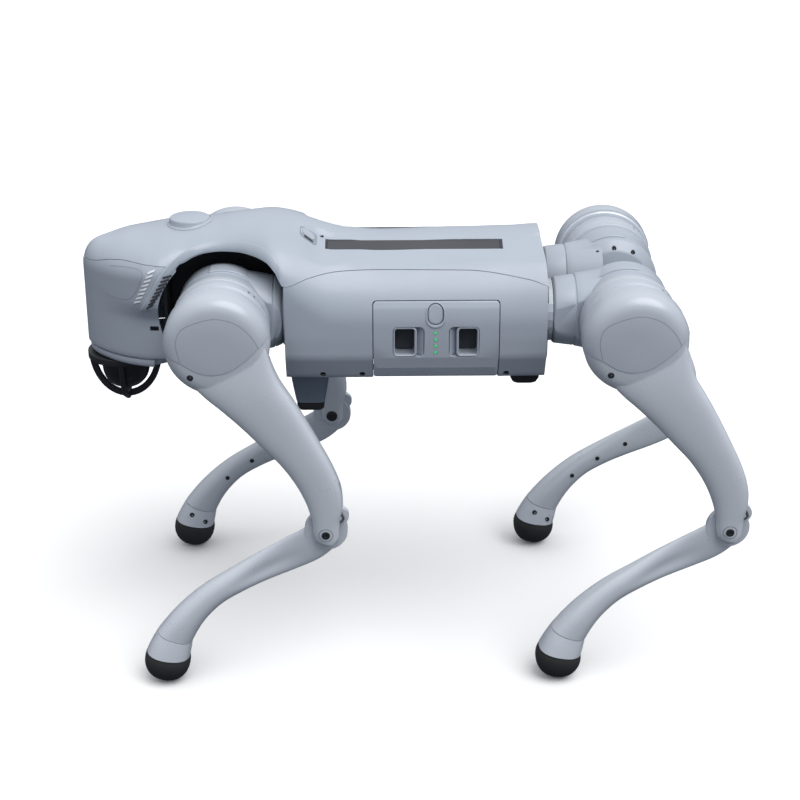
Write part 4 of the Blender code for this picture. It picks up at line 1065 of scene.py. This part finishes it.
def thigh_outer(leg):
    """Outer half of the thigh with the cup over the knee motor and the stub axle of the knee."""
    body = f"thigh_{leg.name}"
    thigh = leg.add("thigh_shell", thigh_half(leg, "outer"), "leg_silver", "thigh", "thigh_outer")
    smooth_dome = [DOME[0]] + curved(DOME[1:], 4)
    corners = ((0.020, -0.0290), (0.020, 0.000), (0.12, -0.0050), (0.245, -0.0050), (0.245, -0.060),
               (0.19, -0.040), (0.15, -0.0300))
    shape(thigh, ("UNION", leg.turned(smooth_dome, (leg.x, 0.0), 96)),
          ("DIFFERENCE", leg.turned(((0.1100, 0.0440), (0.1478, 0.0400)), (leg.x, 0.0), 64)),
          ("DIFFERENCE", leg.prism([leg.thigh_point(a, b) for a, b in corners],
                                   LEG_Y - 0.002, LEG_Y + 0.0058)),
          ("DIFFERENCE", leg.drum(LEG_Y - 0.002, 0.1433, 0.0290, leg.knee, 48)),
          ("UNION", leg.drum(0.1345, 0.1500, 0.0044, leg.knee, 32)))
    grown = [(0.1194, DOME_R + 0.0005)] + [(d + 0.0004, r + 0.0005) for d, r in smooth_dome[1:]]
    # the cap is shell plastic in a lighter copy of its grey: painted light
    cap = leg.add("thigh_cap", leg.turned(grown, (leg.x, 0.0), 120), "dome_grey", "thigh")
    below = [leg.thigh_point(along(CAP_EDGE, b), b) for b in between(-0.060, 0.060, 60)]
    below += [leg.thigh_point(0.10, 0.060), leg.thigh_point(0.10, -0.060)]
    inside = [(0.1100, DOME_R - 0.0004), (0.1350, DOME_R - 0.0004)]
    inside += [(d - 0.0006, r - 0.0004) for d, r in smooth_dome[2:]]
    cut(cap, leg.turned(inside, (leg.x, 0.0), 120), leg.prism(below, 0.100, 0.160))
    skin = Skin(cap, "Y", leg.side)
    # the lens's edge is drawn as a thin line of painted shade
    lens = curved([(leg.x + p, q) for p, q in LENS], 8)
    lens = [p for p in lens if skin.point(*p)]
    ribbon(f"thigh_lens_{leg.name}", skin, lens, 0.0005, "pocket_grey", body, 0.00008)
    skin = Skin(thigh, "Y", leg.side)
    bolt_at = (leg.x + 0.0241, -0.0268)
    # a dark ring of painted shade for the well round the bolt
    ring_mark(f"thigh_well_{leg.name}_0", skin, bolt_at, 0.0026, 0.0010, "seam_dark", body)
    bolt(f"thigh_bolt_{leg.name}_0", skin.spot(*bolt_at), "Y", leg.side, 0.0021, body, 0.0006)
    # a ring of painted shade round the knee axle
    ring_mark(f"knee_ring_{leg.name}", skin, leg.knee, 0.0066, 0.0008, "pocket_grey", body)
    bolt(f"knee_bolt_{leg.name}", skin.spot(*leg.knee), "Y", leg.side, 0.0040, body, 0.0007)


def inner_bolts(leg, name, piece, spots, radius, body, head):
    """Bolts in the side of a limb that faces the trunk."""
    skin = Skin(piece, "Y", -leg.side)
    for number, spot in enumerate(spots):
        bolt(f"{name}_{leg.name}_{number}", skin.spot(*spot), "Y", -leg.side, radius, body, head)


def thigh_inner(leg):
    """Inner half of the thigh, slotted for the heel of the shin."""
    body = f"thigh_{leg.name}"
    thigh = leg.add("thigh_plate", thigh_half(leg, "inner"), "leg_silver", "thigh", "thigh_inner")
    slot = ((0.155, -0.004), (0.155, 0.030), (0.240, 0.030), (0.240, -0.004))
    shape(thigh, ("DIFFERENCE", leg.drum(0.1188, 0.1500, DOME_R + 0.0006, (leg.x, 0.0))),
          ("UNION", leg.turned(((0.1150, 0.0470), (0.1160, 0.0482), (0.1186, 0.0482)), (leg.x, 0.0))),
          ("DIFFERENCE", leg.drum(0.1349, 0.1480, 0.0292, leg.knee, 48)),
          ("DIFFERENCE", leg.prism([leg.thigh_point(a, b) for a, b in slot], 0.1341, 0.1480)),
          ("DIFFERENCE", leg.drum(0.1250, 0.1400, 0.0048, leg.knee, 32)))
    middle = [row[:2] for row in THIGH]
    spots = [leg.thigh_point(a, along(middle, a)) for a in (0.062, 0.110, 0.158)]
    inner_bolts(leg, "plate_bolt", thigh, spots, 0.0024, body, 0.0007)
    cap_spot = (leg.knee[0], leg.side * 0.1290, leg.knee[1])
    bolt(f"knee_cap_{leg.name}", cap_spot, "Y", -leg.side, 0.0060, body, 0.0012)


def limb_ring(leg, a, b, half, turn, inner, outer):
    """Oval slice across the shin, square to its bent centre line, with a soft flute in its outer side."""
    run = min(1.0, max(0.0, (a - 0.022) / 0.095))
    flute = 0.0022 * math.sin(math.pi * run) ** 2
    angle = math.radians(turn)
    middle, thick = (inner + outer) / 2, (outer - inner) / 2
    ring = []
    for t in between(0.0, 2 * math.pi, 49)[:-1]:
        u = half * math.copysign(abs(math.cos(t)) ** 0.9, math.cos(t))
        v = thick * math.copysign(abs(math.sin(t)) ** 0.8, math.sin(t))
        if v > 0:
            v = max(v - flute * math.exp(-((u / half + 0.15) / 0.42) ** 2), 0.0)
        p = leg.shin_point(a - u * math.sin(angle), b + u * math.cos(angle))
        ring.append((p[0], leg.side * (middle + v), p[1]))
    return ring


def shin(leg):
    """Curved shin with a flat head between the thigh halves, and a heel with a pin for the knee rod."""
    body = f"shin_{leg.name}"
    head = leg.turned(((0.1353, 0.0195), (0.1362, 0.0207), (0.1426, 0.0207)), leg.knee)
    limb = leg.add("shin_tube", head, "leg_silver", "shin", "shin")
    pin = (leg.knee[0] - 0.66 * 0.0200, leg.knee[1] + 0.7513 * 0.0200)
    shape(limb, ("UNION", loft([limb_ring(leg, *row) for row in curved(SHIN, 6)])),
          ("UNION", leg.drum(0.1357, 0.1424, 0.0088, pin, 40)),
          ("UNION", leg.drum(0.1400, 0.1472, 0.0021, pin, 24)),
          ("DIFFERENCE", leg.drum(0.1300, 0.1550, 0.0048, leg.knee, 32)))
    middle = [row[:2] for row in SHIN]
    spots = [leg.shin_point(a, along(middle, a)) for a in (0.070, 0.104, 0.138)]
    inner_bolts(leg, "shin_bolt", limb, spots, 0.0024, body, 0.0009)


def ankle_and_foot(leg):
    body = f"shin_{leg.name}"
    rings = [limb_ring(leg, *row) for row in curved(ANKLE, 5)]
    collar = leg.add("ankle_collar", loft(rings), "leg_silver", "shin", "ankle")
    spots = [leg.shin_point(a, b) for a, b in ((0.198, 0.016), (0.193, 0.000))]
    inner_bolts(leg, "ankle_bolt", collar, spots, 0.0027, body, 0.0010)
    a, b, _, turn, _, _ = ANKLE[-1]
    angle = math.radians(turn)
    ball_middle = 0.0080  # below the collar
    rings = []
    for deep in between(GAP, 0.0302, 26):
        size = math.sqrt(max(FOOT_R ** 2 - (deep - ball_middle) ** 2, 1e-6))
        size = min(size, 0.0209 + deep * 0.3)
        centre = (a + deep * math.cos(angle), b + deep * math.sin(angle))
        wide = size * 0.98
        rings.append(limb_ring(leg, *centre, size, turn, LEG_Y - wide, LEG_Y + wide))
    leg.add("foot_ball", loft(rings), "rubber_black", "shin", "foot")


def copy_leg(pieces, source, target):
    """The same pieces for another leg: moved along the body, and mirrored for the other side."""
    flip = source.side != target.side
    for piece in pieces:
        data = piece.data.copy()
        name = piece.name.replace(source.name, target.name)
        for vertex in data.vertices:
            vertex.co.x += target.x - source.x
            if flip:
                vertex.co.y = -vertex.co.y
        if flip:
            data.flip_normals()
        data.name = name
        material, *names = DECLARED[piece.name]
        declare(linked(name, data), material, *[entry.replace(source.name, target.name) for entry in names])


def made_by(leg, *makers):
    """The pieces that some builders of leg parts add, in order of their names."""
    before = set(bpy.data.objects)
    for make in makers:
        make(leg)
    return sorted((o for o in bpy.data.objects if o not in before), key=lambda o: o.name)


def legs():
    """One front leg and two hips are built, and the rest are copies of them."""
    first = Leg(1, 1)
    common = made_by(first, thigh_motor, thigh_outer, thigh_inner, shin, ankle_and_foot)
    hips = []
    for x_side in (1, -1):
        leg = Leg(x_side, 1)
        hips.append((leg, made_by(leg, hip_link)))
    for leg, pieces in hips:
        copy_leg(pieces, leg, Leg(leg.front, -1))
    for x_side, y_side in ((1, -1), (-1, 1), (-1, -1)):
        copy_leg(common, first, Leg(x_side, y_side))


# ---------------------------------------------------------------- surroundings
def studio_sky():
    """Soft light all round: bright above, dim from below, so that undersides stay in shade."""
    world = bpy.data.worlds.new("studio")
    world.use_nodes = True
    tree = world.node_tree
    where = tree.nodes.new("ShaderNodeTexCoord")
    split = tree.nodes.new("ShaderNodeSeparateXYZ")
    tree.links.new(where.outputs["Generated"], split.inputs["Vector"])
    ramp = tree.nodes.new("ShaderNodeValToRGB")
    tree.links.new(remap(tree, split.outputs["Z"], -1.0, 1.0, 0.0, 1.0), ramp.inputs["Fac"])
    first, last = ramp.color_ramp.elements
    first.position, first.color = 0.42, (0.090, 0.100, 0.120, 1.0)
    last.position, last.color = 1.0, (1.0, 1.0, 1.0, 1.0)
    middle = ramp.color_ramp.elements.new(0.52)
    middle.color = (0.40, 0.435, 0.49, 1.0)
    tree.links.new(ramp.outputs["Color"], tree.nodes["Background"].inputs["Color"])
    tree.nodes["Background"].inputs["Strength"].default_value = 1.0
    bpy.context.scene.world = world


def surroundings():
    """Pale floor, soft studio light, and the camera at the photograph's angle."""
    floor = bpy.data.meshes.new("floor")
    size = 6.0
    corners = [(-size, -size, 0), (size, -size, 0), (size, size, 0), (-size, size, 0)]
    floor.from_pydata(corners, [], [(0, 1, 2, 3)])
    material, tree, shader = nodes_of("floor_pale")
    grain = remap(tree, noise(tree, 3.0), 0.3, 0.7, 0.0, 1.0)
    tree.links.new(mix(tree, grain, (0.93, 0.93, 0.93), (0.95, 0.95, 0.95)), shader.inputs["Base Color"])
    shader.inputs["Roughness"].default_value = 0.9
    floor.materials.append(material)
    ground = linked("floor", floor)
    ground.visible_diffuse = False  # the floor throws no light back up, as under a cut-out studio shot
    ground.visible_glossy = False
    studio_sky()
    data = bpy.data.lights.new("overhead", "SUN")
    data.energy = 2.0
    data.angle = math.radians(50.0)
    light = linked("overhead", data)
    light.rotation_euler = Vector((0.40, -0.42, -1.0)).to_track_quat("-Z", "Y").to_euler()
    data = bpy.data.cameras.new("camera")
    data.lens = CAMERA_LENS
    data.sensor_width = 36.0
    data.clip_start = 0.05
    camera = linked("camera", data)
    camera.location = Vector(CAMERA_AT) + TO_WORLD
    level = math.cos(CAMERA_PITCH)
    forward = Vector((math.sin(CAMERA_YAW) * level, -math.cos(CAMERA_YAW) * level, -math.sin(CAMERA_PITCH)))
    camera.rotation_euler = forward.to_track_quat("-Z", "Y").to_euler()
    bpy.context.scene.camera = camera
    bpy.context.scene.view_settings.view_transform = "Standard"


def repaint_frame():
    """Every CAD node that stays gets the finished material of its slot."""
    for part in frame["record"]["subparts"]:
        node = frame["nodes"][part["node"]]
        node.data.materials.clear()
        node.data.materials.append(MATERIALS[part["material_slot"]])


def head_details(cover, face):
    """Fenders and marks, laid on the cover and the face as one surface."""
    hull = add("hull_probe", box((0, 0, 0), (0.001, 0.001, 0.001)), "shell_grey", "trunk")
    merged = bmesh.new()
    merged.from_mesh(cover.data)
    merged.from_mesh(face.data)
    merged.to_mesh(hull.data)
    merged.free()
    for side, name in SIDES:
        fender(Skin(hull, "Y", side), name)
        head_marks(face, side, name)
    bpy.data.objects.remove(hull, do_unlink=True)


def build():
    repaint_frame()
    surroundings()
    cover = top_cover()
    port(cover)
    for make in (side_covers, rails, battery, power_button):
        make()
    face = face_shell()
    for make in (chin, puck, scanner, cage, pads):
        make()
    head_details(cover, face)
    legs()


build()
